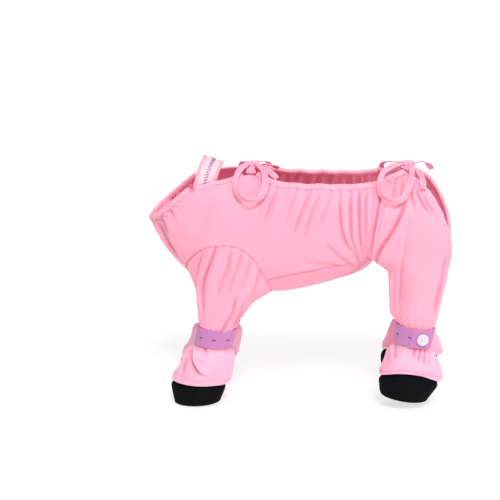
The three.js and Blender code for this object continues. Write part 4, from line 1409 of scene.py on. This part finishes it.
@dataclass
class HindSleeve(FrontSleeve):
    """Hind sleeve: a thigh panel sewn to the body, closing to a tube below the crotch."""

    rows: int = 150
    columns: int = 84

    def build(self) -> None:
        """Builds the sleeve and the stitches of its hem."""
        last = HIND_RINGS.last
        rows_low = int(self.rows * (last - HIND_CROTCH) / last)
        rows_high = self.rows - rows_low
        patches = []
        for start, end, rows, half in ((0, HIND_CROTCH, rows_high, 0), (HIND_CROTCH, last, rows_low, 0),
                                       (HIND_CROTCH, last, rows_low, 1)):
            down, along = spread(rows, self.columns)
            at, turn = start + (end - start) * down, math.pi * (along + half)
            points = hind_sleeve_point(at, turn, -0.003)
            patches.append(Patch(mirrored(points, self.side), {"at": at, "turn": turn}))
        skin = Skin.welded(patches)
        at, turn = skin.values["at"], skin.values["turn"]
        out = facing(skin.normals(), self.side.value)
        height = self.relief(skin, HIND, 0.0125, 0.0105)
        height += creased(HIND_CREASES, skin.points) * out
        upper = ease((HIND_CROTCH + 1 - at) / 1.5)
        rear = np.maximum(math.pi - turn, 0) * 0.026
        height += 0.001 * upper * gather(at * 3.1) * np.exp(-rear / 0.012) * (turn <= math.pi)
        top = at * 0.016
        height += 0.0008 * gather(turn * 7 + 0.3) * np.exp(-top / 0.009) * (turn <= math.pi)
        seam = (1 - ease(np.minimum(turn, TURN - turn) / 0.07)) * ease((HIND_CORNER + 0.5 - at) / 0.5)
        height = height * (1 - seam) - 0.0016 * seam
        self.sew(skin, height, "hind", HIND)


@dataclass
class Casing:
    """Gathered channel sewn along a cloth edge, with the elastic cord inside it.

    Without a side, it runs from the edge's left end over the belly line to its right end.
    """

    name: str
    node: str
    edge: Callable[[Array, float], Array]
    inset: float
    gathers: int
    radius: float
    clearance: float
    side: Side | None = None
    steps: int = 320

    def laid(self, share: Array, inset: float) -> Array:
        """Points of the edge on the casing's side or sides.

        Args:
            share: Shares along the casing.
            inset: How far inside the edge.
        Returns:
            Points in metres.
        """
        if self.side:
            return mirrored(self.edge(share, inset), self.side)
        points = self.edge(np.abs(1 - 2 * share), inset)
        return points * np.stack([share * 0 + 1, np.where(share < 0.5, 1, -1), share * 0 + 1], axis=-1)

    def build(self) -> None:
        """Sweeps a flattened ring along the edge; gathers swell it and run down onto the cloth."""
        share = np.linspace(0, 1, self.steps + 1)
        hem = self.laid(share, 0.0)
        out = hem - self.laid(share, self.inset)
        along = unit(np.gradient(hem, axis=0))
        out = unit(out - along * np.sum(out * along, axis=1, keepdims=True))
        path = hem + out * (self.radius * 1.1 + self.clearance)

        def ripples(place: Array, angle: Array) -> Array:
            """Gathers along the casing, a little uneven and slanted round it."""
            uneven = 0.25 * np.sin(place * 37) + 0.18 * np.sin(place * 91 + 1)
            return gather(place * self.gathers + uneven + 0.12 * np.cos(angle))

        def section(place: Array, angle: Array) -> tuple[Array, Array]:
            """Flattened ring, thinner in the gathers' valleys and reaching down over the cloth's edge.

            Args:
                place: Share along the path.
                angle: Angle round it.
            Returns:
                Distances aside and up, in metres.
            """
            ripple = ripples(place, angle)
            close = ease(np.minimum(place, 1 - place) / 0.006)
            wide = self.radius * (0.86 + 0.14 * ripple) * (0.2 + 0.8 * close)
            up = np.sin(angle)
            tall = np.where(up > 0, 1.0, 1.55) * self.radius * (1 + 0.06 * ripple) * (0.2 + 0.8 * close)
            channel = 1 - 0.3 * bell((up + 0.55) / 0.14)
            return wide * signed_power(np.cos(angle), 0.75) * channel, tall * signed_power(up, 0.85)

        def depth(place: Array, angle: Array) -> Array:
            """Depth of the gathers' valleys, for the painted shade in them."""
            return np.clip(-0.2 - ripples(place, angle), 0, 1) * 0.9

        finish_piece(swept(self.name, path, out, section, 18, depth), CASING, self.node)


def neckline(share: Array, inset: float) -> Array:
    """Left half of the neckline, from the belly line up to the strap.

    Args:
        share: Shares along the edge.
        inset: How far inside it, in stations.
    Returns:
        Points in metres.
    """
    return body_point(inset, share * 0.97)


def cutout(share: Array, inset: float) -> Array:
    """Left half of the belly cut-out, from the belly line up to the hind seam.

    Args:
        share: Shares along the edge.
        inset: How far inside it, in stations.
    Returns:
        Points in metres.
    """
    around = share * CUTOUT_ROUND * 0.9
    return body_point(rear_station(around) - inset, around)


def back_edge(share: Array, inset: float) -> Array:
    """Left back edge: the body's from the front tie on, then the hind sleeve's top edge to the rear peak.

    Args:
        share: Shares along the edge.
        inset: How far inside it, as a share of the way round.
    Returns:
        Points in metres.
    """
    place = share * 1.5
    station = TIE_STATION + (STATIONS.last - TIE_STATION) * np.minimum(place, 1)
    sleeve = hind_sleeve_point(inset * 2, math.pi * np.clip(place - 1, 0, 1) * 2)
    return np.where((place < 1)[:, None], body_point(station, 1 - inset), sleeve)


def hind_edge(share: Array, inset: float) -> Array:
    """Left hind sleeve's free edge: down the rear, round the crotch and up to the belly cut-out.

    Args:
        share: Shares along the edge.
        inset: How far inside it, as a share of the way round.
    Returns:
        Points in metres.
    """
    place = share * 3
    fall = 0.12 + np.clip(place, 0, 1) * (HIND_CROTCH - 0.12)
    rear = hind_sleeve_point(fall, math.pi * (1 - inset))
    low = hind_sleeve_point(HIND_CROTCH + inset * 3, math.pi * np.clip(place, 1, 2))
    climb = HIND_CROTCH - np.clip(place - 2, 0, 1) * (HIND_CROTCH - HIND_CORNER - 0.7)
    front = hind_sleeve_point(climb, math.pi * inset)
    return np.where((place < 1)[:, None], rear, np.where((place < 2)[:, None], low, front))


@dataclass
class Edges:
    """All gathered casings and the folded shoulder bands."""

    hem: float = 0.0029

    def build(self) -> None:
        """Builds every casing and both shoulder bands."""
        Casing("neckline_gathers", "neckline_casing", neckline, 0.08, 44, self.hem * 0.9, 0.0002).build()
        Casing("belly_gathers", "belly_casing", cutout, 0.1, 40, self.hem * 0.9, 0.00035).build()
        for side in Side:
            label = side.label
            Casing(f"back_gathers_{label}", f"back_casing_{label}", back_edge, 0.06,
                   46, self.hem, 0.0005, side).build()
            Casing(f"hind_gathers_{label}", f"hind_edge_casing_{label}", hind_edge, 0.05,
                   44, self.hem * 0.85, 0.001, side).build()
            self.shoulder_band(side)

    def shoulder_band(self, side: Side) -> None:
        """Folded strip on the shoulder edge: a flat ring with a sharp fold line along its upper third.

        Args:
            side: Its side.
        """
        share = np.linspace(0, 1, 120)
        station = 0.25 + share * (TIE_STATION - 0.85)
        edge, inner = (mirrored(body_point(station, 1 - depth), side) for depth in (0.0, 0.04))
        out = unit(edge - inner)

        def section(place: Array, angle: Array) -> tuple[Array, Array]:
            """Flat oval, notched where the fold's edge lies.

            Args:
                place: Share along the path.
                angle: Angle round it.
            Returns:
                Distances aside and up, in metres.
            """
            close = ease(np.minimum(place, 1 - place) / 0.02)
            notch = 1 - 0.4 * bell((np.sin(angle) - 0.1) / 0.12)
            wide = 0.0013 * (1 + 0.12 * np.sin(place * 60)) * (0.2 + 0.8 * close)
            return wide * notch * signed_power(np.cos(angle), 0.7), 0.0026 * signed_power(np.sin(angle), 0.8)

        piece = swept(f"shoulder_fold_{side.label}", edge + out * 0.003, out, section, 18)
        finish_piece(piece, CASING, f"shoulder_band_{side.label}")


@dataclass
class NeckStrap:
    """Elastic band over the back of the neck, with pinker rolled edges and a grey zigzag down its middle."""

    width: float = 0.025
    thickness: float = 0.0016
    zigzag_pitch: float = 0.0034
    zigzag_height: float = 0.0022
    steps: int = 110
    arch: Sections = Sections(("x", "y", "z"), (
        (-1.155, -0.33, -0.2),
        (-1.145, -0.329, -0.13),
        (-1.12, -0.3, -0.03),
        (-1.085, -0.22, 0.08),
        (-1.065, -0.11, 0.115),
        (-1.056, 0, 0.125),
    ))

    def build(self) -> None:
        """Builds the band from shoulder to shoulder, and the zigzag."""
        half = self.arch.line(self.steps)
        line = np.concatenate([half, half[-2::-1] * (1, -1, 1)])
        lean = np.full(len(line), 0.3)
        face = unit(np.stack([lean, line[:, 1] / 0.033, (line[:, 2] + 0.025) / 0.04], axis=-1))

        def section(place: Array, angle: Array) -> tuple[Array, Array]:
            """Flat band with rolled edges: a squared oval, thicker at its ends, finely ribbed lengthwise.

            Args:
                place: Share along the path; not used.
                angle: Angle round it.
            Returns:
                Distances aside and up, in metres.
            """
            across = signed_power(np.cos(angle), 0.35)
            roll = 1 + 0.35 * bell((np.abs(across) - 0.93) / 0.06)
            rib = 1 + 0.06 * np.cos(across * 36)
            rise = signed_power(np.sin(angle), 0.35) * roll * rib
            return self.width / 2 * across, self.thickness / 2 * (1 + rise)

        def edges(place: Array, angle: Array) -> Array:
            """Share of the pinker colour: full in a stripe along each edge."""
            return 0.9 * ease((np.abs(signed_power(np.cos(angle), 0.35)) - 0.66) / 0.08) + 0 * place

        strap = swept("neck_strap_elastic", line, face, section, 96, edges)
        finish_piece(strap, NECK, "neck_strap")
        known = walked(line)
        place = np.linspace(0.004, known[-1] - 0.004, 900)
        along = unit(sampled(np.gradient(line, axis=0), known, place))
        out = unit(sampled(face, known, place))
        across = unit(np.cross(along, out))
        out = np.cross(across, along)
        wave = 2 * np.abs((place / self.zigzag_pitch) % 1 - 0.5) - 0.5
        path = sampled(line, known, place) + out * (self.thickness + 0.0002)
        path = path + across * (wave * self.zigzag_height * 2)[:, None]
        finish_piece(swept("neck_strap_zigzag", path, out, thread_section, 6), GREY_THREAD)


@dataclass
class Cuff:
    """Elastic ankle band whose end laps over its start, with buttonholes and a button on the lap."""

    leg: Leg
    name: str
    side: Side
    button_turn: float
    overlap: float = 0.75
    elastic: float = 0.0016
    gap: float = 0.00035
    button_diameter: float = 0.014
    button_thickness: float = 0.0024
    hole_place: float = 0.0017
    edge_share: float = 0.18
    slit_pitch: float = 0.0165
    slit_length: float = 0.0056
    spare: float = 0.17

    def build(self) -> None:
        """Builds the band, the button and its thread."""
        start = self.button_turn - self.overlap * 0.55
        whole = TURN + self.overlap + self.spare
        share = np.linspace(0, 1, 260)
        outset = self.gap + 0.00015 + (self.elastic + self.gap) * ease((whole * share - TURN + 0.35) / 0.35)
        turn = start + whole * share
        centre, drop = self.leg.cuff_place(turn, outset)
        height = float(np.linalg.norm(self.leg.cuff_place(np.array(math.pi / 2), 0.0)[1]))
        inside = self.leg.cuff_place(turn + math.pi, 0.0)[0]
        across = unit(drop)
        out = np.cross(unit(np.gradient(centre, axis=0)), across)
        out = unit(out * np.sign(np.sum(out * (centre - inside), axis=1, keepdims=True)))
        known = walked(centre)
        width = signed_power(np.linspace(-1, 1, 31), 0.8)
        length = known[:, None] + 0 * width
        level = np.broadcast_to(width, length.shape) * height / 2
        slit = self.slits(length, level, known[-1])
        inset = height / 2 - np.abs(level)
        edge = ease(inset / 0.0006)
        end = ease(np.minimum(length, known[-1] - length) / 0.0006)
        picot = 0.00012 * np.sin(length / 0.0012 * TURN) * (1 - ease(inset / 0.001))
        outer = self.elastic * (0.55 + 0.45 * edge * end) + picot - 0.0008 * slit
        outer += 0.00025 * bell((np.abs(level) - height * 0.44) / 0.0007)
        faces = []
        for rise, hollow in ((outer, slit), (self.elastic * 0.45 * (1 - edge * end), 0 * slit)):
            grid = centre[:, None] + across[:, None] * level[..., None] + out[:, None] * rise[..., None]
            values = {"hollow": hollow, "length": length, "level": level}
            faces.append(Patch(mirrored(grid, self.side), values))
        skin = self.closed(faces)
        # painted shade: the buttonholes take the elastic's near-black second colour
        skin.hollow = skin.values["hollow"]
        label = self.side.label
        finish_piece(skin.built(f"{self.name}_cuff_elastic_{label}"), CUFF, f"{self.name}_cuff_{label}")
        self.button()

    def slits(self, length: Array, level: Array, total: float) -> Array:
        """Buttonholes: narrow ovals on the middle line at every pitch.

        Args:
            length: Distance along the band in metres.
            level: Distance from its middle line.
            total: Length of the band.
        Returns:
            How deep each place lies, from 0 to 1, which also sets the painted shade in the buttonholes.
        """
        off = (length - 0.5 * self.slit_pitch) % self.slit_pitch - self.slit_pitch / 2
        oval = np.hypot(off / (self.slit_length / 2), level / 0.00085)
        inside = (length > 0.006) & (length < total - 0.006)
        return (1 - ease((oval - 0.55) / 0.5)) * inside

    @staticmethod
    def rim(faces: list[Patch]) -> list[Patch]:
        """Narrow patches that join the outer and inner face round their four edges.

        Args:
            faces: Outer and inner face.
        Returns:
            Four patches.
        """
        outer, inner = faces
        made = []
        for cut in (np.s_[0, :], np.s_[-1, :], np.s_[:, 0], np.s_[:, -1]):
            points = np.stack([outer.points[cut], inner.points[cut]])
            made.append(Patch(points, {k: np.stack([outer.values[k][cut], inner.values[k][cut]])
                                       for k in outer.values}))
        return made

    def closed(self, faces: list[Patch]) -> Skin:
        """Closed skin, each patch turned to face outward of the band's middle.

        Args:
            faces: Outer and inner face.
        Returns:
            The skin, with its length and level as flat coordinates.
        """
        middle = (faces[0].points + faces[1].points) / 2
        turned = []
        for number, patch in enumerate(faces + self.rim(faces)):
            points = patch.points
            normal = np.cross(points[1:, :-1] - points[:-1, :-1], points[:-1, 1:] - points[:-1, :-1])
            if number < 2:
                outward = points[:-1, :-1] - middle[:-1, :-1]
            else:
                inward = {2: middle[2], 3: middle[-3], 4: middle[:, 2], 5: middle[:, -3]}[number]
                outward = points[:-1, :-1] - inward[None, :-1]
            if np.sum(normal * outward) > 0:
                patch = Patch(points[::-1], {k: v[::-1] for k, v in patch.values.items()})
            turned.append(patch)
        skin = Skin.welded(turned)
        flat = np.stack([skin.values["level"], skin.values["length"]], axis=-1)
        skin.uv = flat[skin.quads]
        skin.turn_outward()
        return skin

    def button(self) -> None:
        """Dished four-hole button on the lap, a height over a disc, and the crossed thread in its holes."""
        label = self.side.label
        lift = 2 * (self.elastic + self.gap) + 0.00055
        centre, drop = self.leg.cuff_place(np.array(self.button_turn), lift)
        turns = self.button_turn + np.array([0.05, -0.05, math.pi])
        ahead, behind, inside = self.leg.cuff_place(turns, 0.0)[0]
        up = unit(drop)
        out = unit(np.cross(up, unit(ahead - behind)))
        out = out * np.sign(np.sum(out * (centre - inside)))
        across = np.cross(up, out)
        radius, thick = self.button_diameter / 2, self.button_thickness
        down, along = spread(46, 72)
        across_face = down * (1 + self.edge_share)
        share, angle = np.minimum(across_face, 1.0), along * TURN
        reach = share * radius
        holes = [(a * self.hole_place, b * self.hole_place) for a in (-1, 1) for b in (-1, 1)]
        x, y = reach * np.cos(angle), reach * np.sin(angle)
        pit = sum(1 - ease((np.hypot(x - a, y - b) - 0.0006) / 0.0004) for a, b in holes)
        rim = bell((share - 0.84) / 0.1) * 0.0004 - 0.0003 * (1 - ease((share - 0.5) / 0.25))
        height = thick - 0.0004 + rim - 0.0012 * pit - 0.0009 * ease((share - 0.9) / 0.1) ** 2
        height = np.where(across_face > 1, height * (1 - ease((across_face - 1) / self.edge_share)), height)
        points = centre + across * x[..., None] + up * y[..., None] + out * height[..., None]
        base = np.broadcast_to(centre, points[:1].shape)
        patch = Patch(mirrored(np.concatenate([points, base]), self.side),
                      {"hollow": np.concatenate([pit, 0 * pit[:1]])})
        skin = Skin.welded([patch])
        # painted shade in the holes, at most 0.6 of the hole colour
        skin.hollow = np.clip(skin.values["hollow"], 0, 1) * 0.6
        finish_piece(skin.built(f"{self.name}_button_pearl_{label}"), PEARL, f"{self.name}_button_{label}")
        for number, (a, b) in enumerate(((1, 1), (1, -1))):
            reach = np.linspace(-1, 1, 15)[:, None]
            bend = 0.0009 * (1 - reach**4) - 0.0003
            path = centre + (across * a + up * b) * reach * self.hole_place
            path = mirrored(path + out * (thick - 0.0008 + bend + 0.0002 * number), self.side)
            facing_out = np.broadcast_to(mirrored(out, self.side), path.shape)
            name = f"{self.name}_button_thread_{label}_{number + 1}"
            finish_piece(swept(name, path, facing_out, thread_section, 8), PALE_THREAD)


@dataclass
class Boot:
    """Soft rubber boot: a cup with a flat sole, a side seam and a groove above the sole."""

    rings: Sections
    name: str
    side: Side
    rim_rise: float = 0.0
    rubber: float = 0.002
    wall_share: float = 0.82

    def build(self) -> None:
        """Rings from the rim to the sole's middle, drawn in at the seam and the groove."""
        last = self.rings.last
        down, along = spread(62, 104)
        at, turn = last * np.minimum(down / self.wall_share, 1), TURN * along
        points = ring_point(self.rings, at, turn)
        points[..., 2] += self.rim_rise * np.sin(turn) ** 2 * (1 - ease(at / 2.5))
        middle = ring_point(self.rings, float(last), np.array([0, math.pi])).mean(axis=0)
        inward = np.clip((down - self.wall_share) / (1 - self.wall_share), 0, 1)
        close = ease(inward)
        points = points + (middle - points) * inward[..., None]
        patch = Patch(mirrored(points, self.side), {"at": at, "turn": turn, "close": close})
        skin = Skin.welded([patch])
        at, turn, close = (skin.values[k] for k in ("at", "turn", "close"))
        wall = ease((last - at) / 1.2) * (close < 0.001)
        height = -0.0012 * (bell((turn - 1.45) / 0.04) + bell((turn - 4.83) / 0.04)) * wall
        height += 0.0003 * (bell((turn - 1.53) / 0.05) + bell((turn - 4.91) / 0.05)) * wall
        height -= 0.0006 * bell((at - 4.55) / 0.14)
        height += 0.0004 * wander(turn * 2.4, at * 1.6, 61 + self.side.value) * wall
        label = self.side.label
        piece = skin.raised(height).built(f"{self.name}_boot_rubber_{label}", self.rubber)
        finish_piece(piece, RUBBER, f"{self.name}_boot_{label}")


@dataclass
class BowTie:
    """Bow on the back: straps from the cloth's peak, a knot, two loops and two tails of flat jersey tie."""

    name: str
    knot: tuple[float, float, float]
    strap: Sections
    loop: Sections
    tails: dict[Side, Sections]
    twist: float = 0.9
    width: float = 0.0075
    thickness: float = 0.0018
    knot_size: tuple[float, float, float] = (0.0072, 0.0056, 0.0054)

    def ribbon(self, name: str, route: Sections, side: Side, steps: int, bare: bool = False,
               twist: float = 0.0, flare: float = 0.0) -> tuple[bpy.types.Object, Array]:
        """Flat folded tie along a route: a squared oval with a stitched groove beside its folded edge.

        Args:
            name: Name of the object.
            route: Points of its middle line.
            side: Side to lie on, for a route of the left side.
            steps: Steps along it.
            bare: True where the far end is free and sewn shut.
            twist: Angle by which it turns on its edge at the middle of the route.
            flare: How much wider and more pleated it is at its start, where it leaves the cloth.
        Returns:
            The object and its middle line.
        """
        path = route.line(steps)
        face = unit(np.stack([0 * path[:, 0], path[:, 1] / 0.04, 0 * path[:, 0] + 0.6], axis=-1))
        along = unit(np.gradient(path, axis=0))
        aside = unit(np.cross(along, face))
        roll = twist * bell((np.linspace(0, 1, steps + 1) - 0.52) / 0.2)[:, None]
        face = np.cross(aside, along) * np.cos(roll) + aside * np.sin(roll)
        path, face = mirrored(path, side), mirrored(face, side)

        def section(place: Array, angle: Array) -> tuple[Array, Array]:
            """Squared oval, grooved along one edge, wrinkled a little and drawn in at the ends.

            Args:
                place: Share along the path.
                angle: Angle round it.
            Returns:
                Distances aside and up, in metres.
            """
            squeeze = 1 - 0.35 * bell(place / 0.06) - (0 if bare else 0.35) * bell((1 - place) / 0.06)
            squeeze = squeeze * (1 + 0.1 * np.sin(place * 17 + 1)) * 0.93 + flare * (1 - ease(place * 1.2))
            across = signed_power(np.cos(angle), 0.6)
            groove = 0.72 + 0.4 * across**2 - 0.35 * bell((across - 0.5) / 0.12)
            wrinkle = 1 + 0.1 * np.sin(place * 70 + across * 2) * np.sin(place * 23)
            tall = self.thickness / 2 * groove * wrinkle * signed_power(np.sin(angle), 0.7)
            pleats = flare * (1 - place) * 0.0011 * gather(across * 1.6 + 0.2)
            curl = 0.0007 * np.sin(place * 9) * across + pleats
            return self.width / 2 * across * squeeze, tall + curl

        def depth(place: Array, angle: Array) -> Array:
            """Painted shade: in the stitched groove, and in a broad band along the tie's middle."""
            across = signed_power(np.cos(angle), 0.6)
            return 0.9 * bell((across - 0.5) / 0.12) + 0.75 * bell((across + 0.1) / 0.4) + 0 * place

        return swept(name, path, face, section, 28, depth), path

    def build(self) -> None:
        self.build_knot()
        for side in Side:
            label = side.label
            strap, _ = self.ribbon(f"{self.name}_strap_tie_{label}", self.strap, side, 40, flare=0.75)
            finish_piece(strap, TIE, f"{self.name}_tie_strap_{label}")
            loop, path = self.ribbon(f"{self.name}_loop_tie_{label}", self.loop, side, 150, twist=self.twist)
            finish_piece(loop, TIE, f"{self.name}_loop_{label}")
            tail, _ = self.ribbon(f"{self.name}_tail_tie_{label}", self.tails[side], Side.LEFT, 48, True)
            finish_piece(tail, TIE, f"{self.name}_tail_{label}")

    def build_knot(self) -> None:
        """Knot: an ellipsoid whose radius swells in slanted wraps and narrows round its waist."""
        down, along = spread(60, 80)
        polar, turn = math.pi * down, TURN * along
        slant = turn * 3 / TURN * 2 + 1.4 * np.cos(polar)
        ends = np.sin(polar) ** 0.5
        radius = 1 + 0.09 * gather(slant) * ends - 0.1 * bell((turn % TURN - 0.5 * math.pi) / 0.3) * ends
        x, y = np.sin(polar) * np.cos(turn) * radius, np.sin(polar) * np.sin(turn) * radius
        shape = np.stack([x, y, np.cos(polar) * radius], axis=-1) * self.knot_size
        shape[:, -1] = shape[:, 0]
        skin = Skin.welded([Patch(shape + np.array(self.knot) * SPAN, {"slant": slant})])
        # painted shade in the valleys between the wraps
        skin.hollow = np.clip(-0.35 - gather(skin.values["slant"]), 0, 1)
        finish_piece(skin.built(f"{self.name}_knot_tie"), TIE, f"{self.name}_knot")


XYZ = ("x", "y", "z")
BOWS = (
    BowTie("front", (-0.59, 0, 0.075),
           Sections(XYZ, ((-0.6, -0.168, 0.008), (-0.596, -0.11, 0.044), (-0.59, -0.06, 0.072))),
           Sections(XYZ, ((-0.645, -0.042, 0.1), (-0.72, -0.2, 0.07), (-0.765, -0.38, -0.03),
                          (-0.72, -0.52, -0.15), (-0.61, -0.59, -0.215), (-0.49, -0.585, -0.2),
                          (-0.42, -0.5, -0.115), (-0.43, -0.28, 0.05), (-0.545, -0.052, 0.105))),
           {Side.LEFT: Sections(XYZ, ((-0.537, -0.043, 0.062), (-0.42, -0.12, 0.045), (-0.35, -0.2, 0.02),
                                      (-0.28, -0.24, -0.03))),
            Side.RIGHT: Sections(XYZ, ((-0.524, 0.043, 0.068), (-0.43, 0.07, 0.07), (-0.36, 0.1, 0.05),
                                       (-0.29, 0.13, 0.01)))}),
    BowTie("rear", (1.24, 0, 0.095),
           Sections(XYZ, ((1.197, -0.148, 0.077), (1.222, -0.1, 0.079), (1.239, -0.068, 0.088))),
           Sections(XYZ, ((1.185, -0.04, 0.12), (1.05, -0.14, 0.1), (0.945, -0.33, 0.04), (0.93, -0.5, -0.1),
                          (1.0, -0.57, -0.18), (1.11, -0.6, -0.205), (1.21, -0.56, -0.165),
                          (1.29, -0.38, 0.01), (1.287, -0.052, 0.128))),
           {Side.LEFT: Sections(XYZ, ((1.298, -0.033, 0.066), (1.38, -0.16, 0.055), (1.42, -0.32, -0.01),
                                      (1.43, -0.46, -0.09))),
            Side.RIGHT: Sections(XYZ, ((1.316, 0.02, 0.1), (1.4, 0.03, 0.13), (1.48, 0.09, 0.09),
                                       (1.53, 0.17, 0.01)))}),
)


@dataclass
class Studio:
    """Plain pale floor, soft studio light and the camera at the photograph's angle."""

    target: tuple[float, float, float] = (-0.0632, 0.0, -0.0969)
    distance: float = 2.5
    frame_width: float = 0.6
    elevation: float = math.radians(15)
    azimuth: float = math.radians(4.8)
    roll: float = math.radians(-0.6)
    sensor: float = 36.0
    floor_size: float = 8.0

    def build(self, floor_level: float) -> None:
        """Builds the camera, floor, lights and surroundings.

        Args:
            floor_level: Height of the floor in metres.
        """
        scene = bpy.context.scene
        scene.view_settings.view_transform = "Standard"
        lens = bpy.data.cameras.new("camera")
        lens.sensor_width = self.sensor
        lens.lens = self.sensor * self.distance / self.frame_width
        lens.clip_end = 50
        camera = bpy.data.objects.new("camera", lens)
        level = math.cos(self.elevation)
        back = Vector((math.sin(self.azimuth) * level, -math.cos(self.azimuth) * level,
                       math.sin(self.elevation)))
        camera.location = Vector(self.target) + back * self.distance
        turned = back.to_track_quat("Z", "Y") @ Quaternion((0, 0, 1), self.roll)
        camera.rotation_euler = turned.to_euler()
        scene.collection.objects.link(camera)
        scene.camera = camera
        self.floor(floor_level)
        self.light("key_sun", "SUN", (0.25, -1.0, 1.25), (0, 0, 0), energy=2.0, angle=math.radians(20))
        self.light("right_softbox", "AREA", (1.9, -1.0, 0.7), self.target, energy=9, size=1.0)
        self.light("top_softbox", "AREA", (0.2, 0.9, 1.8), self.target, energy=9, size=1.4)
        world = bpy.data.worlds.new("studio")
        world.use_nodes = True
        self.surroundings(Graph(world.node_tree))
        scene.world = world

    def surroundings(self, graph: Graph) -> None:
        """White where the camera looks past the floor, and a dimmer cool white that lights the piece.

        Args:
            graph: Graph of the surroundings.
        """
        nodes = graph.tree.nodes
        seen = graph.add("ShaderNodeLightPath").outputs["Is Camera Ray"]
        glow, white = nodes["Background"], graph.add("ShaderNodeBackground", {0: (1, 1, 1, 1), 1: 1.0})
        glow.inputs[0].default_value = (0.97, 0.94, 1, 1)
        glow.inputs[1].default_value = 0.5
        both = graph.add("ShaderNodeMixShader", {0: seen, 1: glow.outputs[0], 2: white.outputs[0]})
        graph.tree.links.new(both.outputs[0], nodes["World Output"].inputs["Surface"])

    def floor(self, level: float) -> None:
        """Wide flat floor of a plain near-white.

        Args:
            level: Its height in metres.
        """
        down, along = spread(2, 2)
        half = self.floor_size / 2
        points = np.stack([(along * 2 - 1) * half, (1 - down * 2) * half, 0 * down + level], axis=-1)
        floor = Skin.welded([Patch(points, {"down": down})]).built("floor")
        material = bpy.data.materials.new("pale_floor")
        material.use_nodes = True
        shader = material.node_tree.nodes["Principled BSDF"]
        shader.inputs["Base Color"].default_value = (0.36, 0.36, 0.36, 1)
        shader.inputs["Roughness"].default_value = 0.9
        shader.inputs["Emission Color"].default_value = (1, 1, 1, 1)
        shader.inputs["Emission Strength"].default_value = 0.67
        floor.data.materials.append(material)
        floor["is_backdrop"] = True

    @staticmethod
    def light(name: str, kind: str, place: tuple[float, float, float], aim: tuple[float, float, float],
              **settings: float) -> None:
        """Light turned from its place toward its aim; a sun shines that way over the whole floor.

        Args:
            name: Name of the light.
            kind: Blender's kind, a sun or a square area.
            place: Its place in metres.
            aim: Point that it is turned toward.
            settings: Its strength, and its angle in the sky in radians or the width of its square.
        """
        lamp = bpy.data.lights.new(name, kind)
        for key, value in settings.items():
            setattr(lamp, key, value)
        holder = bpy.data.objects.new(name, lamp)
        holder.location = place
        holder.rotation_euler = (Vector(place) - Vector(aim)).to_track_quat("Z", "Y").to_euler()
        bpy.context.scene.collection.objects.link(holder)


def main() -> None:
    """Builds the cover from its ties to its boots."""
    logging.basicConfig(level=logging.INFO, format="%(message)s")
    cad = [list(map(float, corner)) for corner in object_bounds()]
    Studio().build(cad[0][2] - 0.0003)
    for bow in BOWS:
        bow.build()
    BodyCover().build()
    Edges().build()
    NeckStrap().build()
    for side in Side:
        FrontSleeve(side).build()
        HindSleeve(side).build()
        Cuff(FRONT, "front", side, 4.1).build()
        Cuff(HIND, "hind", side, 1.98).build()
        Boot(FRONT_BOOT, "front", side).build()
        Boot(HIND_BOOT, "hind", side, 0.012).build()
    bpy.context.view_layer.update()


if __name__ == "__main__":
    main()
